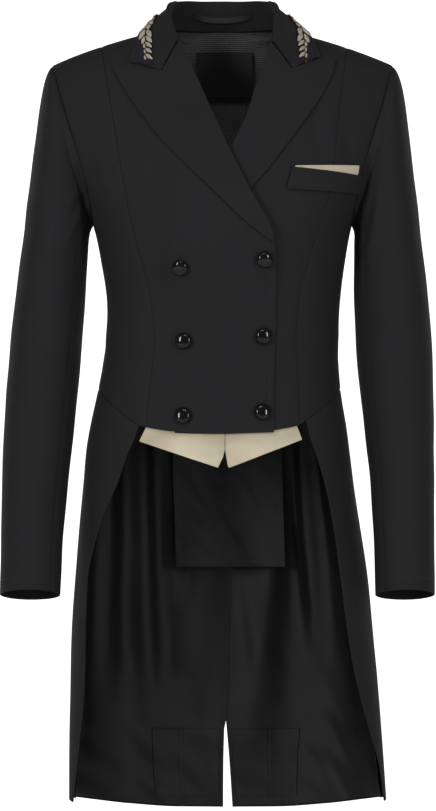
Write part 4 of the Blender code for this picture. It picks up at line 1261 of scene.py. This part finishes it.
def make_back_lining():
    """The mesh lining inside the upper back, drawn back to the collar's stand at its top."""
    def place(across, up, deeper):
        def angle(v):
            return (2.0 * across - 1.0) * angle_of(armhole_distance(True, v) - 7.0, v)
        top = np.full(across.shape, NECK_START)
        for _ in range(20):
            distance = np.abs(distance_of(angle(top), top))
            top = between(top, read_line(BACK_LINING_TOP, distance), 0.5)
        v = between(BACK_LINING_LOW, top, spread(up))
        out = between(NECK_LINING, BACK_LINING_OUT, smooth(0.90, 1.0, up))
        return on_body(LEFT, True, angle(v), v, out - deeper)

    def wrinkles(points):
        return -0.8 * sway(points, 15.0, 3.0) * (1.0 - smooth(-75, -35, points[..., 2]))
    sheet("back_neck_lining", "mesh_lining", 130, 90, place, rim=0.3, relief=wrinkles)


def make_buttons():
    """Domed shank buttons on the overlapping front."""
    for number, (distance, z) in enumerate(BUTTONS, 1):
        shape = bmesh.new()
        ring = [shape.verts.new((radius, 0.0, rise)) for radius, rise in BUTTON_PROFILE]
        edges = [shape.edges.new(pair) for pair in zip(ring, ring[1:])]
        bmesh.ops.spin(shape, geom=ring + edges, cent=(0, 0, 0), axis=(0, 0, 1), angle=math.tau,
                       steps=48, use_merge=True)
        bmesh.ops.remove_doubles(shape, verts=shape.verts[:], dist=1e-4)
        bmesh.ops.recalc_face_normals(shape, faces=shape.faces[:])
        v = find_section(False, distance, np.array(z))
        angle = angle_of(distance, v)
        normal = Vector(outward(RIGHT, False, angle, v))
        seat = on_body(RIGHT, False, angle, v, over_lift(distance, z) - 0.5) * MM
        turn = normal.to_track_quat("Z", "Y").to_matrix().to_4x4()
        bmesh.ops.transform(shape, matrix=Matrix.Translation(Vector(seat)) @ Matrix.Scale(MM, 4) @ turn,
                            verts=shape.verts[:])
        finish(f"button_{number}_gloss", shape, "button", f"button_{number}")


# Room, light and camera

def stage_board(name, width, tall, place, turn, light):
    """A plain pale board of the studio, with its middle at place."""
    shape = bmesh.new()
    bmesh.ops.create_grid(shape, x_segments=1, y_segments=1, size=0.5)
    turned = Matrix.Translation(place) @ Matrix.Rotation(turn, 4, "X")
    bmesh.ops.transform(shape, matrix=turned @ Matrix.Diagonal((width, tall, 1.0, 1.0)),
                        verts=shape.verts[:])
    pale = bpy.data.materials.new(name + " paint")
    pale.use_nodes = True
    paint = pale.node_tree.nodes["Principled BSDF"].inputs
    paint["Base Color"].default_value = (0.93, 0.93, 0.93, 1.0)
    paint["Roughness"].default_value = 0.9
    paint["Emission Color"].default_value = (1.0, 1.0, 1.0, 1.0)
    paint["Emission Strength"].default_value = light
    put(name, shape, pale)


def make_room():
    """A pale floor, and a glowing wall so far behind the coat that the back can be seen from before it."""
    stage_board("studio_floor", 12.0, 9.0, (0.0, -1.5, -1.30), 0.0, 0.0)
    stage_board("studio_wall", 14.0, 8.0, (0.0, 9.8, 0.6), math.pi / 2, 1.05)


def soft_light(name, place, aim, width, tall, power):
    lamp = bpy.data.lights.new(name, "AREA")
    lamp.shape = "RECTANGLE"
    lamp.size, lamp.size_y, lamp.energy = width, tall, power
    light = bpy.data.objects.new(name, lamp)
    light.location = place
    light.rotation_euler = (Vector(aim) - Vector(place)).to_track_quat("-Z", "Y").to_euler()
    bpy.context.scene.collection.objects.link(light)


def make_light():
    world = bpy.data.worlds.new("soft room")
    world.use_nodes = True
    glow = world.node_tree.nodes["Background"].inputs
    glow["Color"].default_value = (1.0, 1.0, 1.0, 1.0)
    glow["Strength"].default_value = 0.16
    bpy.context.scene.world = world
    soft_light("left box", (-2.3, -3.0, 0.5), (0, 0, -0.45), 0.55, 1.7, 78)
    soft_light("right box", (2.5, -3.0, 0.3), (0, 0, -0.45), 0.55, 1.7, 59)
    soft_light("top box", (0.0, -2.4, 2.6), (0, 0, -0.4), 1.6, 0.8, 26)
    soft_light("back left box", (-2.6, 3.2, 0.9), (0, 0, -0.45), 0.9, 2.2, 40)
    soft_light("back right box", (2.6, 3.2, 0.9), (0, 0, -0.45), 0.9, 2.2, 40)


def make_camera():
    lens = bpy.data.cameras.new("front camera")
    lens.lens, lens.sensor_width = 150.5, 36.0
    camera = bpy.data.objects.new("front camera", lens)
    camera.location = (-0.0053, -4.0, -0.436)
    camera.rotation_euler = (math.pi / 2, 0, 0)
    bpy.context.scene.collection.objects.link(camera)
    bpy.context.scene.camera = camera
    bpy.context.scene.view_settings.view_transform = "Standard"


make_fronts()
make_back()
make_tails()
make_flap()
make_sleeves()
make_collar()
make_lapels()
make_trim()
make_waistcoat()
make_back_lining()
make_buttons()
make_room()
make_light()
make_camera()
